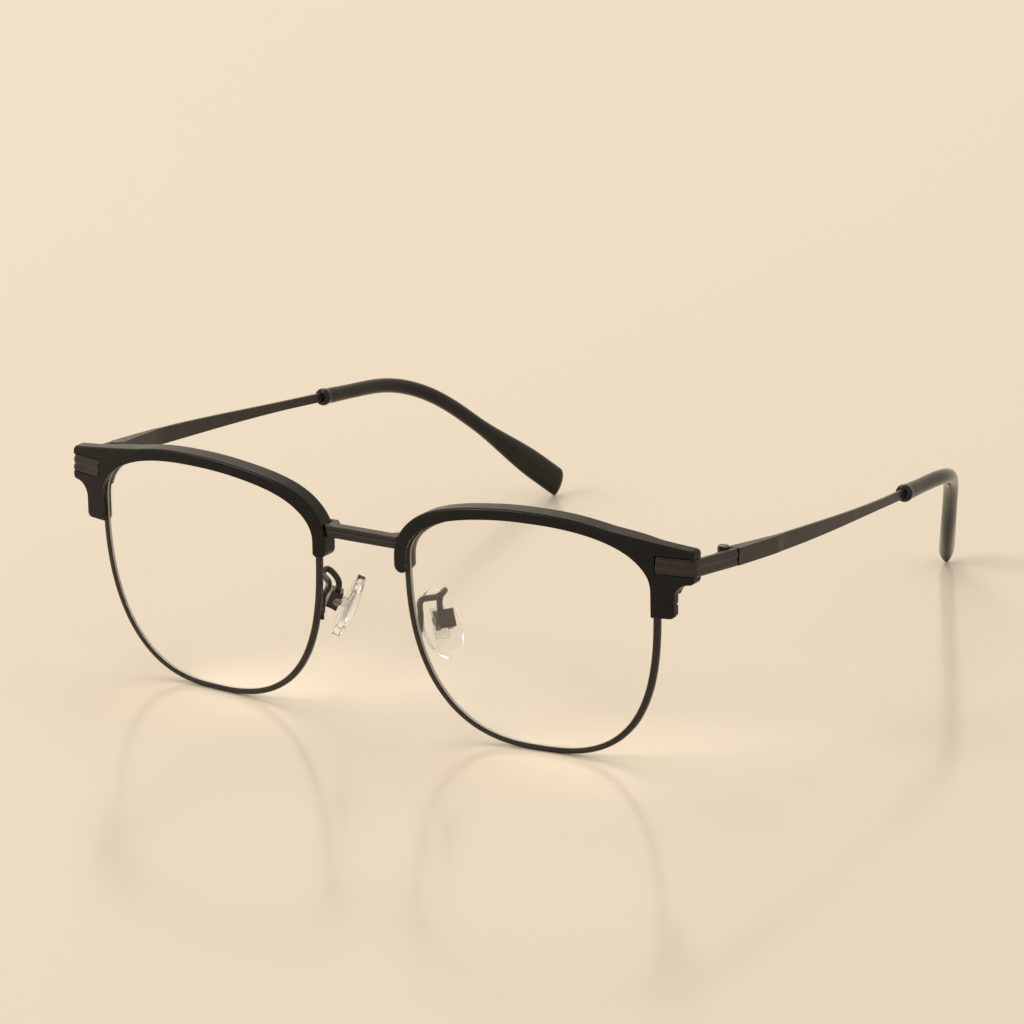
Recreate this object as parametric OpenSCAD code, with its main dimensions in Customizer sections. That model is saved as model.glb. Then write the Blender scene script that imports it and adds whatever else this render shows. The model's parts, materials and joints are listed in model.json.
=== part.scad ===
// Browline reading glasses, open and standing on a table.
// +X is the wearer's left, the front faces -Y, the temples run to +Y.
// The origin lies on the table below the middle of the glasses.

/* [Lenses] */
// Width of one lens from edge to edge
lens_w = 51.9; // [49.4:0.5:54.9]
// Height of one lens from edge to edge
lens_h = 46; // [44:0.2:48]
// Gap between the two lenses at the nose
lens_gap = 20.1; // [18.6:0.5:22.1]
// Radius of the front curve of the lenses
face_r = 178; // [165:1:200]
// Thickness of a lens at its middle
lens_t = 1.5; // [1.4:0.05:1.6]
// Radius of the back curve of the lenses
lens_back_r = 400; // [380:5:420]

/* [Rims] */
// Width of the rim wire seen from the front
rim_w = 1.1; // [1.05:0.05:1.3]
// Depth of the rim wire from front to back
rim_depth = 1.2; // [1.15:0.05:1.4]
// Depth of the groove that holds the lens
groove_depth = 0.5; // [0.35:0.05:0.55]
// Height of the two lock blocks together
lock_h = 4.2; // [3.8:0.1:5]
// Gap of the split in the rim
split_gap = 0.2; // [0.1:0.05:0.3]
// Radius of the lock screw
lock_screw_r = 0.5; // [0.4:0.05:0.55]

/* [Brows] */
// Thickness of the front wall of the brow
brow_wall = 1.15; // [1:0.05:1.4]
// Thickness of the flange behind the rim
brow_flange = 0.75; // [0.6:0.05:1]
// Height of the brow above the lens edge at its middle
brow_top_w = 1.5; // [1.3:0.1:2.2]
// Width of the brow outside the lens edge at the nose
brow_nose_w = 2.3; // [2:0.1:2.6]
// Width of the leg beside the outer lens edge
leg_w = 4; // [3.7:0.1:4.4]
// Radius of the hollow between the lower lobe and the leg
leg_fillet_r = 3.1; // [2.2:0.1:3.3]
// Overall width of the two brows
brow_span = 139.4; // [138:0.2:141]

/* [Bridge] */
// Height of the bridge bar
bar_h = 2.4; // [2.1:0.1:2.7]
// Depth of the bridge bar
bar_t = 2.1; // [1.9:0.1:2.4]

/* [Endpieces] */
// Height of the endpiece
arm_h = 3.35; // [3.1:0.05:3.6]
// Thickness of the endpiece strip
arm_t = 1; // [0.8:0.05:1.1]
// Length of the endpiece from its bend to the seam
arm_len = 12.75; // [12:0.25:14]
// Length of the endpiece strip in the brow recess
plate_len = 6.7; // [6:0.1:7]
// Inner radius of the bend at the corner
bend_r = 0.5; // [0.3:0.1:0.7]
// Angle that the endpiece arm splays outward
arm_splay = 3.6; // [2:0.2:5]
// Angle that the temples slope down when the front stands on the table
pantoscopic_angle = 5.8; // [4:0.2:7]

/* [Hinges] */
// Outer radius of the hinge barrel
barrel_r = 1.15; // [1.1:0.05:1.25]
// Height of the middle knuckle
eye_h = 1.3; // [1.1:0.1:1.5]
// Radius of the hinge screw
hinge_screw_r = 0.6; // [0.5:0.05:0.65]
// Running clearance round the hinge screw
screw_clear = 0.05; // [0.03:0.01:0.08]
// Gap between neighbouring knuckles
knuckle_gap = 0.05; // [0.03:0.01:0.1]

/* [Temples] */
// Length of the metal temple from the seam to the tip mouth
temple_len = 67.3; // [60:1:75]
// Thickness of the flat temple blade
blade_t = 0.75; // [0.7:0.05:0.95]
// Thickness of the temple at the seam
seam_t = 2.75; // [2.7:0.05:3]
// Height of the temple at the tip mouth
temple_rear_h = 1.8; // [1.6:0.1:2.2]
// Length of the wedge behind the seam
wedge_len = 14; // [12:0.5:18]
// Angle that the temples close in towards their tips
temple_toe_in = 3.1; // [2:0.1:4]

/* [Temple tips] */
// Outer radius of the tip behind its mouth
tip_mouth_r = 1.48; // [1.35:0.05:1.7]
// Outer radius of the tip at its thinnest
tip_neck_r = 1.34; // [1.3:0.05:1.5]
// Radius of the club at the end
tip_end_r = 2.55; // [2.2:0.05:3]
// Length of the tip along which it bends down
ear_bend_len = 26; // [22:1:28]
// Length of the tip before it bends down
ear_straight_len = 17.5; // [15:0.5:20]
// Angle that the tip bends down
ear_drop = 41; // [38:0.5:44]
// Angle that the tip bends inward
ear_tuck = 19.5; // [17:0.5:23]
// Radius of the core wire in the tip
core_r = 0.62; // [0.5:0.02:0.7]

/* [Nose pads] */
// Height of a nose pad
pad_h = 13.3; // [12:0.1:15]
// Width of a nose pad
pad_w = 8.1; // [7.5:0.1:9]
// Thickness of a nose pad
pad_t = 2.5; // [2.3:0.1:2.8]
// Angle that the pads open towards the face
pad_splay = 33; // [29:0.5:36]
// Angle that the pads lean together at the top
pad_lean = 25; // [21:0.5:27]
// Radius of the pad arm wire
wire_r = 0.6; // [0.5:0.05:0.65]
// Radius of the pad screw
pad_screw_r = 0.42; // [0.35:0.01:0.5]

/* [Hidden] */

// Facets of round screws and knuckles
$fn = 32;
// Facets of the large face curves
ball_fn = 360;
// Points round one lens outline
outline_n = 72;
// Overrun of every cut
over = 1;
// Fine clearance between fitted pieces of one body
fit = 0.03;
// Clearance between pieces that are assembled loosely
slack = 0.1;

// Lens outline: four superellipse quarters that meet at the widest points
nasal_share = 0.516;
upper_share = 0.248;
// Powers of the upper outer, upper inner, lower inner and lower outer quarters
corner_powers = [2.33, 2.14, 2.62, 2.68];
nasal_w = lens_w * nasal_share;
outer_w = lens_w - nasal_w;
upper_h = lens_h * upper_share;
lower_h = lens_h - upper_h;
rim_lip = rim_w - groove_depth;
lens_x = lens_gap / 2 + nasal_w;
lens_z = rim_lip + lower_h;
lens_top = lens_z + upper_h;
lens_outer_x = lens_x + outer_w;

// Centre of the spherical face curve, on which the lens fronts and rims lie
face_x = 21.4;
face_z = 35;

// Places of the brow end, measured from the lens
end_drop = 3.15;
end_top = lens_top - end_drop;
arm_drop = 6.3;
arm_z = lens_top - arm_drop;
lobe_h = 1.45;
lobe_r = 0.95;
leg_r = 0.9;
leg_drop = 4.85;
leg_bottom = lens_z - leg_drop;
end_depth = 1.45;
brow_lip = 0.35;
band_full_w = brow_nose_w + slack;
brow_temple_w = brow_top_w * 1.6;
brow_end_x = brow_span / 2;
top_slope_share = 0.19;

// Hinge axis, worked back from the bend of the endpiece in the brow corner
arm_clear = 0.2;
arm_inner = barrel_r + arm_clear;
seam_y = 1.45;
bend_proud = 0.45;
seam_gap = 0.15;
bend_out_r = bend_r + arm_t;
bend_x = brow_end_x - bend_out_r + bend_proud;
plate_slope = asin((bend_x - face_x) / (face_r + brow_wall));
bend_angle = 90 - arm_splay - plate_slope;
touch_x = bend_x + bend_out_r * sin(plate_slope);
bend_back = face_back(touch_x, arm_z, brow_wall) + bend_out_r * cos(plate_slope);
bend_local = [arm_inner - bend_r, seam_y - arm_len];
bend_e = [bend_local[0] * cos(arm_splay) + bend_local[1] * sin(arm_splay),
    bend_local[1] * cos(arm_splay) - bend_local[0] * sin(arm_splay)];
hinge_x = bend_x - bend_e[0];
hinge_back = bend_back - bend_e[1] * cos(pantoscopic_angle);
hinge_z = arm_z + bend_e[1] * sin(pantoscopic_angle);
barrel_proud = 0.42;
barrel_top = arm_h / 2 + barrel_proud;
barrel_bottom = -arm_h / 2 - knuckle_gap;
eye_bottom = -eye_h / 2 + slack;
leaf_t = 0.58;
leaf_len = 5;
screw_head_r = 1;
screw_head_h = 0.4;
tongue_len = 5;
tongue_t = 0.8;
fork_gap = brow_wall + end_depth + 4 * slack;
fork_t = 0.9;

// Temple outer face, from the hinge axis
temple_proud = 0.15;
temple_out = arm_inner + arm_t + temple_proud;
wedge_extra = 0.35;
wedge_rear_t = blade_t + wedge_extra;
bevel_out = 0.2;
wedge_step = 2.5;
taper_end_share = 0.9;
taper_start_share = 0.18;

// Tip route: heading angles grow along its length and are summed step by step
path_step = 2;
tuck_start = 12;
tuck_end = 30;
bend_end = ear_straight_len + ear_bend_len;
bend_steps = ceil(bend_end / path_step);
bend_step = bend_end / bend_steps;
end_grow_len = 18;
end_full_len = 5;
neck_len = 9;
tip_sides = 16;
core_sides = 8;
core_end_gap = 14;
collar_rise = 0.12;
collar_r = tip_mouth_r + collar_rise;

temple_start = seam_y + seam_gap;
temple_end = temple_start + temple_len;
blade_out = temple_out - bevel_out;
temple_mid_x = blade_out - blade_t / 2;

// Heading of the tip at the distance s from its mouth
function tip_dir(s) = let(
    tuck = ear_tuck * smooth(s, tuck_start, tuck_end),
    drop = ear_drop * smooth(s, ear_straight_len, bend_end))
    [-sin(tuck), cos(tuck) * cos(drop), -cos(tuck) * sin(drop)];

function tip_bend() = [for (i = 0, p = [temple_mid_x, temple_end, 0]; i <= bend_steps;
    p = p + bend_step * tip_dir((i + 0.5) * bend_step), i = i + 1) p];

// Upward and backward directions of the standing glasses, in the frame of the temple
up_dir = [-sin(temple_toe_in) * sin(pantoscopic_angle),
    -cos(temple_toe_in) * sin(pantoscopic_angle), cos(pantoscopic_angle)];
back_dir = [sin(temple_toe_in) * cos(pantoscopic_angle),
    cos(temple_toe_in) * cos(pantoscopic_angle), sin(pantoscopic_angle)];

// The straight end of the tip reaches down until the club rests on the table
bend_path = tip_bend();
bend_last = bend_path[bend_steps];
end_dir = tip_dir(bend_end);
end_fall = -end_dir * up_dir;
cap_angles = [15, 30, 45, 60, 75, 86];
cap_long_share = 0.85;
cap_keel_share = 0.95;
end_level = sqrt(1 - end_fall * end_fall);
end_reach = tip_end_r * (cap_keel_share * end_level
    + norm([(1 - cap_keel_share) * end_level, cap_long_share * end_fall]));
end_len = (hinge_z + bend_last * up_dir - end_reach) / end_fall;
tip_len = bend_end + end_len;
keel_dir = unit(-up_dir - end_dir * end_fall);
end_steps = 14;
function cap_point(b) = tip_at(tip_len) + tip_end_r * (cap_long_share * sin(b) * end_dir
    + cap_keel_share * (1 - cos(b)) * keel_dir);

function tip_at(s) = s <= bend_end
    ? let(i = min(floor(s / bend_step), bend_steps - 1), k = s / bend_step - i)
        bend_path[i] * (1 - k) + bend_path[i + 1] * k
    : bend_last + end_dir * (s - bend_end);

function tip_radius(s) = tip_neck_r + (tip_mouth_r - tip_neck_r) * (1 - smooth(s, 0, neck_len))
    + (tip_end_r - tip_neck_r) * smooth(s, tip_len - end_full_len - end_grow_len, tip_len - end_full_len);

// Place of the face curve that puts the origin midway between the brows and the tip ends
arch_start = 55;
arch_end = 180;
arch_step = 4;
front_out = max([for (a = [arch_start:arch_step:arch_end]) let(p = lens_point(a, -brow_lip))
    -face_back(p[0], p[1], brow_wall)]);
tip_back = max([for (b = cap_angles)
    cap_point(b) * back_dir + tip_end_r * cos(b) * norm(cross(end_dir, back_dir))]);
front_y = (front_out - hinge_back - tip_back) / 2;
face_y = front_y + face_r;
hinge_at = [hinge_x, front_y + hinge_back, hinge_z];

// Pad arm route and clevis box, from the foot on the rim
foot_angle = 200;
arm_reach = 7.3;
arm_rise = 7;
pad_side = 2.35;
pad_back_set = 9.9;
pad_rise = 0.6;
box_r = 1.9;
cheek_t = 0.9;
tab_t = 1.5;
tab_r = 1.05;
tab_gap = 0.06;
box_front = 0.6;
box_wall = 0.5;
pad_back = 1.75;
pad_turn = 8;
core_plate_t = 0.6;
core_plate_h = 6;
core_plate_w = 3.2;
pad_crown_r = 11;

// Screws that hold the brows
brow_screw_r = 0.45;
brow_screw_head_r = 0.85;
brow_screw_head_h = 0.45;
brow_screw_len = 2.6;

// Point of the lens outline at angle a, moved outward by grow
function lens_point(a, grow) = let(
    c = cos(a), s = sin(a),
    aw = c >= 0 ? outer_w : nasal_w,
    bh = s >= 0 ? upper_h : lower_h,
    n = s >= 0 ? (c >= 0 ? corner_powers[0] : corner_powers[1])
        : (c >= 0 ? corner_powers[3] : corner_powers[2]),
    u = pow(abs(c), 2 / n) * sign(c),
    v = pow(abs(s), 2 / n) * sign(s),
    nx = sign(u) * pow(abs(u), n - 1) / aw,
    nz = sign(v) * pow(abs(v), n - 1) / bh,
    l = norm([nx, nz]))
    [lens_x + aw * u + grow * nx / l, lens_z + bh * v + grow * nz / l];

function lens_outline(grow) = [for (i = [0:outline_n - 1]) lens_point(360 * i / outline_n, grow)];

// Y of the face curve at x, z, moved forward by rise
function front_surface(x, z, rise) = front_y + face_back(x, z, rise);
function face_back(x, z, rise) =
    face_r - sqrt(pow(face_r + rise, 2) - pow(x - face_x, 2) - pow(z - face_z, 2));

// Smooth step from 0 at a to 1 at b
function smooth(t, a, b) = let(k = max(0, min(1, (t - a) / (b - a)))) k * k * (3 - 2 * k);

// Points of an arc round c from angle a0 to a1
function arc(c, r, a0, a1, n) = [for (i = [0:n]) let(a = a0 + (a1 - a0) * i / n)
    [c[0] + r * cos(a), c[1] + r * sin(a)]];

function unit(v) = v / norm(v);

function tangents(p) = [for (i = [0:len(p) - 1])
    unit(p[min(i + 1, len(p) - 1)] - p[max(i - 1, 0)])];

// Smooth curve through the points p, with n steps for each span
function spline(p, n) = let(m = len(p) - 1) [for (i = [0:m - 1], j = [0:(i == m - 1 ? n : n - 1)])
    let(t = j / n, a = p[max(i - 1, 0)], b = p[i], c = p[i + 1], d = p[min(i + 2, m)])
    (2 * b + (c - a) * t + (2 * a - 5 * b + 4 * c - d) * t * t
        + (3 * b - a - 3 * c + d) * t * t * t) / 2];

// Direction that no swept piece runs along
near_up = [0.01, 0, 1];

// Round tube along the points p, with the radius r[i] at point i
module sweep(p, r, sides) {
    tube(p, tangents(p), r, sides);
}

// The same with the headings t given
module tube(p, t, r, sides) {
    rings = [for (i = [0:len(p) - 1]) let(
        u = unit(cross(near_up, t[i])), v = cross(t[i], u))
        for (k = [0:sides - 1]) p[i] + r[i] * (u * cos(360 * k / sides) + v * sin(360 * k / sides))];
    n = len(p);
    polyhedron(points = rings, faces = concat(
        [[for (k = [0:sides - 1]) k]],
        [for (i = [0:n - 2], k = [0:sides - 1]) let(k2 = (k + 1) % sides)
            [i * sides + k, (i + 1) * sides + k, (i + 1) * sides + k2, i * sides + k2]],
        [[for (k = [sides - 1:-1:0]) (n - 1) * sides + k]]));
}

// Bar along Y whose section in X, Z is the child
module along_y(y0, y1) {
    translate([0, y1, 0]) rotate([90, 0, 0]) linear_extrude(y1 - y0) children();
}

// Prism with the child's front outline, deep enough for the whole front
module front_prism() {
    along_y(front_y - 2 * brow_wall - over, front_y + arm_len) children();
}

// Ball of the face curve, grown by rise
module face_ball(rise) {
    translate([face_x, face_y, face_z]) sphere(r = face_r + rise, $fn = ball_fn);
}

// Shell between two depths behind the face curve
module face_shell(y0, y1) {
    difference() {
        face_ball(-y0);
        face_ball(-y1);
    }
}

module both(side) {
    if (side > 0) children();
    else mirror([1, 0, 0]) children();
}

// Lens: the outline cut by its front and back curves
lens_set = 0.2;
lens_mid_x = (lens_gap + lens_w) / 2;
lens_mid_z = rim_lip + lens_h / 2;
lens_dir = unit([lens_mid_x - face_x, front_surface(lens_mid_x, lens_mid_z, 0) - face_y, lens_mid_z - face_z]);
lens_curve_r = face_r - lens_set;
lens_back_z = lens_curve_r - lens_t - lens_back_r;
// Facets and steps of the round lens blank, and the share of its radius that is kept
blank_fn = 144;
blank_steps = 24;
blank_share = 0.97;

// Round blank about the lens axis, between the front and back curves
module lens_blank(grow) {
    front_r = lens_curve_r + grow;
    back_r = lens_back_r - grow;
    edge_r = blank_share * sqrt(2 * lens_t / (1 / front_r - 1 / back_r));
    translate([face_x, face_y, face_z])
        rotate([0, acos(lens_dir[2]), atan2(lens_dir[1], lens_dir[0])])
            rotate_extrude($fn = blank_fn) polygon(concat(
                [for (i = [0:blank_steps]) let(r = edge_r * i / blank_steps)
                    [r, sqrt(front_r * front_r - r * r)]],
                [for (i = [blank_steps:-1:0]) let(r = edge_r * i / blank_steps)
                    [r, lens_back_z + sqrt(back_r * back_r - r * r)]]));
}

module lens_body(grow) {
    intersection() {
        front_prism() polygon(lens_outline(grow));
        lens_blank(grow);
    }
}

module lens(side) {
    color([0.93, 0.95, 0.95, 0.25]) both(side) lens_body(0);
}

// Lock blocks on the outer side of the rim
lock_x0 = lens_outer_x + rim_lip / 2;
lock_margin = 0.45;
lock_x1 = lens_outer_x + leg_w - lock_margin;
lock_y0 = front_surface(lock_x0, arm_z, 0);
lock_extra = 0.6;
lock_y1 = front_surface((lock_x0 + lock_x1) / 2, arm_z, 0) + rim_depth + lock_extra;
lock_rise = 0.3;
lock_z = leg_bottom + lock_h / 2 + lock_rise;
lock_screw_at = [(lock_x0 + lock_x1) / 2, lock_y1 - lock_extra - rim_depth / 2 + lock_rise];
lock_head_r = 0.75;
lock_head_h = 0.5;
module lock_block() {
    intersection() {
        translate([lock_x0, lock_y0 - over, lock_z - lock_h / 2])
            cube([lock_x1 - lock_x0, lock_y1 - lock_y0 + over, lock_h]);
        face_ball(0);
    }
}

module rim(side) {
    color([0.13, 0.125, 0.12]) both(side) difference() {
        union() {
            intersection() {
                front_prism() difference() {
                    polygon(lens_outline(rim_lip));
                    polygon(lens_outline(-groove_depth));
                }
                face_shell(0, rim_depth);
            }
            lock_block();
        }
        lens_body(fit);
        translate([lens_outer_x - 2 * rim_w, front_y - over, lock_z - split_gap / 2])
            cube([leg_w + 2 * rim_w, arm_len, split_gap]);
        translate([lock_screw_at[0], lock_screw_at[1], lock_z - lock_h / 2 - over])
            cylinder(r = lock_screw_r + fit, h = lock_h + over - lock_head_h);
        translate([lock_screw_at[0], lock_screw_at[1], lock_z - lock_h / 2 - over])
            cylinder(r = lock_head_r + fit, h = lock_head_h + over + fit);
    }
}

module lock_screw(side) {
    color([0.3, 0.29, 0.28]) both(side)
        translate([lock_screw_at[0], lock_screw_at[1], lock_z - lock_h / 2]) union() {
            cylinder(r = lock_head_r, h = lock_head_h);
            cylinder(r = lock_screw_r, h = lock_h - lock_head_h - fit);
        }
}

// Width of the brow outside the lens edge, along the arch from outer side to nose
function brow_width(a) = brow_top_w
    + (brow_nose_w - brow_top_w) * smooth(a, 130, 178)
    + (brow_temple_w - brow_top_w) * (1 - smooth(a, 42, 88));

lobe_extra = 0.2;
nose_lobe_r = (brow_nose_w + brow_lip) / 2 + lobe_extra;
lobe_drop = 1.6;
nose_lobe_at = [lens_gap / 2 - brow_nose_w + nose_lobe_r, lens_z - lobe_drop];

// Front view of the brow: arch, nose lobe and T-shaped outer end
module brow_face() {
    top_at = lens_point(arch_start, brow_width(arch_start));
    leg_x = lens_outer_x + leg_w;
    leg_in = lens_outer_x - brow_lip;
    lobe_z = arm_z - arm_h / 2 - lobe_h;
    top_angle = 90 - atan(top_slope_share);
    difference() {
        union() {
            polygon(concat([[lens_x, lens_z]],
                [for (a = [arch_start:arch_step:arch_end]) lens_point(a, brow_width(a))],
                [[lens_gap / 2 - brow_nose_w, lens_z], nose_lobe_at - [nose_lobe_r, 0],
                    nose_lobe_at + [nose_lobe_r, 0]]));
            translate(nose_lobe_at) circle(r = nose_lobe_r);
            polygon(concat([top_at, [lens_x, lens_z], [leg_in, leg_bottom + leg_r]],
                arc([leg_in + leg_r / 2, leg_bottom + leg_r / 2], leg_r / 2, 180, 270, 4),
                arc([leg_x - leg_r, leg_bottom + leg_r], leg_r, 270, 360, 6),
                arc([leg_x + leg_fillet_r, lobe_z - leg_fillet_r], leg_fillet_r, 180, 90, 10),
                arc([brow_end_x - lobe_r, lobe_z + lobe_r], lobe_r, 270, 360, 6),
                arc([brow_end_x - lobe_r, end_top - lobe_r], lobe_r, 0, top_angle, 6)));
        }
        polygon(lens_outline(-brow_lip));
    }
}

// Room behind the brow's outer end for the lock blocks and the endpiece
module brow_pocket() {
    intersection() {
        translate([lens_outer_x + rim_lip / 2, front_y, leg_bottom - over])
            cube([leg_w + arm_len, arm_len, lock_z + lock_h / 2 + slack - leg_bottom + over]);
        face_shell(-fit, arm_len);
    }
    intersection() {
        translate([bend_x - fork_len - 4 * slack, front_y, leg_bottom - over])
            cube([leg_w + arm_len, arm_len, arm_z + arm_h / 2 + slack - leg_bottom + over]);
        face_shell(end_depth, arm_len);
    }
}

module brow(side) {
    color([0.09, 0.085, 0.08]) both(side) difference() {
        union() {
            intersection() {
                front_prism() brow_face();
                face_shell(-brow_wall, end_depth);
            }
            intersection() {
                front_prism() intersection() {
                    brow_face();
                    polygon(lens_outline(band_full_w));
                }
                face_shell(-brow_wall, rim_depth + fit + brow_flange);
            }
        }
        intersection() {
            front_prism() polygon(lens_outline(rim_lip + fit));
            face_shell(-fit, rim_depth + fit);
        }
        brow_pocket();
        in_arm_frame() strip_room();
        bridge_half(slack);
        brow_screw_places() cylinder(r = brow_screw_r + fit, h = brow_screw_len + fit);
    }
}

// Bridge: plan outline of one half, with its foot behind the brow
foot_t = 0.9;
foot_x = lens_gap / 2 + 3 * slack;
bar_front = front_y + slack;
bar_end_x = lens_gap / 2 - brow_nose_w + 2 * slack;
bar_rise = 2.3;
bar_z = lens_z + bar_rise;
foot_front = front_surface(bar_end_x, bar_z, 0) + rim_depth + fit + brow_flange + slack;
bar_groove = 0.25;
module bridge_half(grow) {
    difference() {
        translate([0, 0, bar_z - bar_h / 2 - grow]) linear_extrude(bar_h + 2 * grow)
            polygon([[0, bar_front - grow], [bar_end_x + grow, bar_front - grow],
                [bar_end_x + grow, foot_front - grow], [foot_x + grow, foot_front - grow],
                [foot_x + grow, foot_front + foot_t + grow],
                [bar_end_x - foot_t / 2, foot_front + foot_t + grow],
                [bar_end_x - bar_t, bar_front + bar_t + grow],
                [0, bar_front + bar_t + grow]]);
        if (grow == 0) brow_screw_places() translate([0, 0, -over])
            cylinder(r = brow_screw_r + fit, h = 3 * over);
    }
}

module bridge() {
    color([0.15, 0.145, 0.14]) difference() {
        union() {
            bridge_half(0);
            mirror([1, 0, 0]) bridge_half(0);
        }
        translate([-bar_end_x + bar_t, bar_front - over, bar_z])
            cube([2 * (bar_end_x - bar_t), over + bar_groove, bar_groove]);
    }
}

// Frame of the endpiece arm: origin on the hinge axis, Y along the arm
module in_arm_frame() {
    translate(hinge_at) rotate([-pantoscopic_angle, 0, 0]) rotate([0, 0, -arm_splay]) children();
}

// Frame of the temple: origin on the hinge axis, Y along the temple
module in_temple_frame() {
    translate(hinge_at) rotate([-pantoscopic_angle, 0, 0]) rotate([0, 0, temple_toe_in]) children();
}

// Section of the ribbed strip: two rounded bands with a groove and a bead on top
rib_rise = 0.28;
bead_h = 0.45;
upper_band_share = 0.58;
function rib_profile() = let(
    top = arm_h / 2, split = arm_h / 2 - arm_h * upper_band_share, body = arm_t - rib_rise)
    concat([[0, -top], [body, -top]],
        [for (i = [0:6]) let(k = i / 6) [body + rib_rise * sin(180 * k), -top + (split + top) * k]],
        [for (i = [0:6]) let(k = i / 6)
            [body + rib_rise * sin(180 * k), split + (top - bead_h - split) * k]],
        [for (i = [1:4]) let(k = i / 4)
            [body + rib_rise / 2 * sin(180 * k), top - bead_h + bead_h * k]],
        [[0, top]]);

// Frame at the bend centre of the strip
module in_bend_frame() {
    translate([bend_local[0], bend_local[1], 0]) children();
}

module strip_body() {
    in_bend_frame() {
        translate([bend_r, 0, 0]) along_y(0, arm_len) polygon(rib_profile());
        rotate([0, 0, -bend_angle]) rotate_extrude(angle = bend_angle, $fn = 72)
            translate([bend_r, 0]) polygon(rib_profile());
        rotate([0, 0, -bend_angle]) translate([bend_r, 0, 0])
            along_y(-plate_len, 0) polygon(rib_profile());
    }
}

// Clear room for the strip in the brow
module strip_room() {
    in_bend_frame() {
        rotate([0, 0, -bend_angle]) translate([bend_r - fit, -plate_len - slack / 2, -arm_h / 2 - slack / 2])
            cube([arm_t + over, plate_len + slack, arm_h + slack]);
        translate([-bend_r, 0, -arm_h / 2 - slack / 2]) rotate([0, 0, -bend_angle])
            translate([bend_r / 2, -bend_r, 0]) cube([bend_out_r + over, arm_len, arm_h + slack]);
        translate([-bend_r, -bend_r, -arm_h / 2 - slack / 2]) cube([bend_out_r + over + bend_r, arm_len, arm_h + slack]);
    }
}

// Back plate of the endpiece behind the brow, and the leg down to the lock block
fork_extra = 0.6;
fork_len = plate_len + fork_extra;
fork_h = arm_h - 3 * slack;
drop_leg_w = 2.4;
module back_plate() {
    in_bend_frame() rotate([0, 0, -bend_angle])
        translate([bend_out_r - fork_gap - fork_t, -fork_len, -fork_h / 2])
            cube([fork_t, fork_len + bend_r + arm_t / 2, fork_h]);
}
drop_leg_y = lock_y1 + slack / 2;
module drop_leg() {
    translate([lens_outer_x + rim_lip, drop_leg_y, lock_z + split_gap])
        cube([drop_leg_w, fork_t, arm_z - lock_z + split_gap]);
}

module endpiece(side) {
    color([0.19, 0.18, 0.17]) both(side) difference() {
        union() {
            in_arm_frame() {
                strip_body();
                difference() {
                    union() {
                        back_plate();
                        in_bend_frame() translate([bend_r + arm_t / 2 - fork_t, 0, -fork_h / 2])
                            cube([fork_t, fork_gap + fork_t - bend_out_r, fork_h]);
                    }
                    in_bend_frame() translate([bend_r + arm_t / 2, -over * 4, -arm_h])
                        cube([arm_t * 2, arm_len, 2 * arm_h]);
                }
            }
            drop_leg();
        }
        brow_screw_places() translate([0, 0, -over]) cylinder(r = brow_screw_r + fit, h = 3 * over);
    }
}

// The two brow screws of one side: Z of each place runs forward from the head's seat
nose_screw_x = lens_gap / 2 - (rim_lip + brow_nose_w) / 2 + brow_screw_r;
end_screw_back = plate_len / 2;
module brow_screw_places() {
    translate([nose_screw_x, foot_front + foot_t, bar_z]) rotate([90, 0, 0]) children();
    in_arm_frame() in_bend_frame() rotate([0, 0, -bend_angle])
        translate([bend_out_r - fork_gap - fork_t, -end_screw_back, 0]) rotate([0, 90, 0]) children();
}

module brow_screws(side) {
    color([0.3, 0.29, 0.28]) both(side) brow_screw_places() union() {
        cylinder(r = brow_screw_r, h = brow_screw_len);
        translate([0, 0, -brow_screw_head_h]) cylinder(r = brow_screw_head_r, h = brow_screw_head_h);
    }
}

// Front leaf of the hinge: two knuckles on a leaf inside the arm
module hinge_front(side) {
    eye_room_h = eye_h + 2 * knuckle_gap;
    color([0.17, 0.165, 0.16]) both(side) in_arm_frame() difference() {
        union() {
            translate([0, 0, barrel_bottom]) cylinder(r = barrel_r, h = barrel_top - barrel_bottom);
            translate([arm_inner - fit - leaf_t, seam_y - slack - leaf_len, barrel_bottom + slack])
                cube([leaf_t, leaf_len, arm_h - 2 * slack]);
            translate([0, -barrel_r, barrel_bottom]) cube([arm_inner - fit, barrel_r, arm_h]);
        }
        translate([-over - barrel_r, -barrel_r - slack, eye_bottom - knuckle_gap])
            cube([over + barrel_r + arm_inner, leaf_len, eye_room_h]);
        translate([0, 0, barrel_bottom - over])
            cylinder(r = hinge_screw_r + screw_clear, h = barrel_top - barrel_bottom + 2 * over);
    }
}

// Middle knuckle with the tongue that is set into the temple
module hinge_eye(side) {
    color([0.17, 0.165, 0.16]) both(side) in_temple_frame() difference() {
        translate([0, 0, eye_bottom]) union() {
            cylinder(r = barrel_r, h = eye_h);
            translate([barrel_r - tongue_t, 0, 0]) cube([tongue_t, seam_y + tongue_len, eye_h]);
        }
        translate([0, 0, eye_bottom - over])
            cylinder(r = hinge_screw_r + screw_clear, h = eye_h + 2 * over);
    }
}

module hinge_screw(side) {
    slot_w = screw_head_r / 4;
    color([0.34, 0.33, 0.32]) both(side) in_arm_frame() difference() {
        union() {
            translate([0, 0, barrel_bottom]) cylinder(r = hinge_screw_r, h = barrel_top - barrel_bottom);
            translate([0, 0, barrel_top]) cylinder(r = screw_head_r, h = screw_head_h);
        }
        translate([-screw_head_r - over, -slot_w / 2, barrel_top + screw_head_h / 2])
            cube([2 * screw_head_r + 2 * over, slot_w, screw_head_h]);
    }
}

// Half height of the temple at the share k of its length
function temple_half(k) = (temple_rear_h + (arm_h - temple_rear_h)
    * (1 - smooth(k, taper_start_share, taper_end_share))) / 2;

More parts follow.
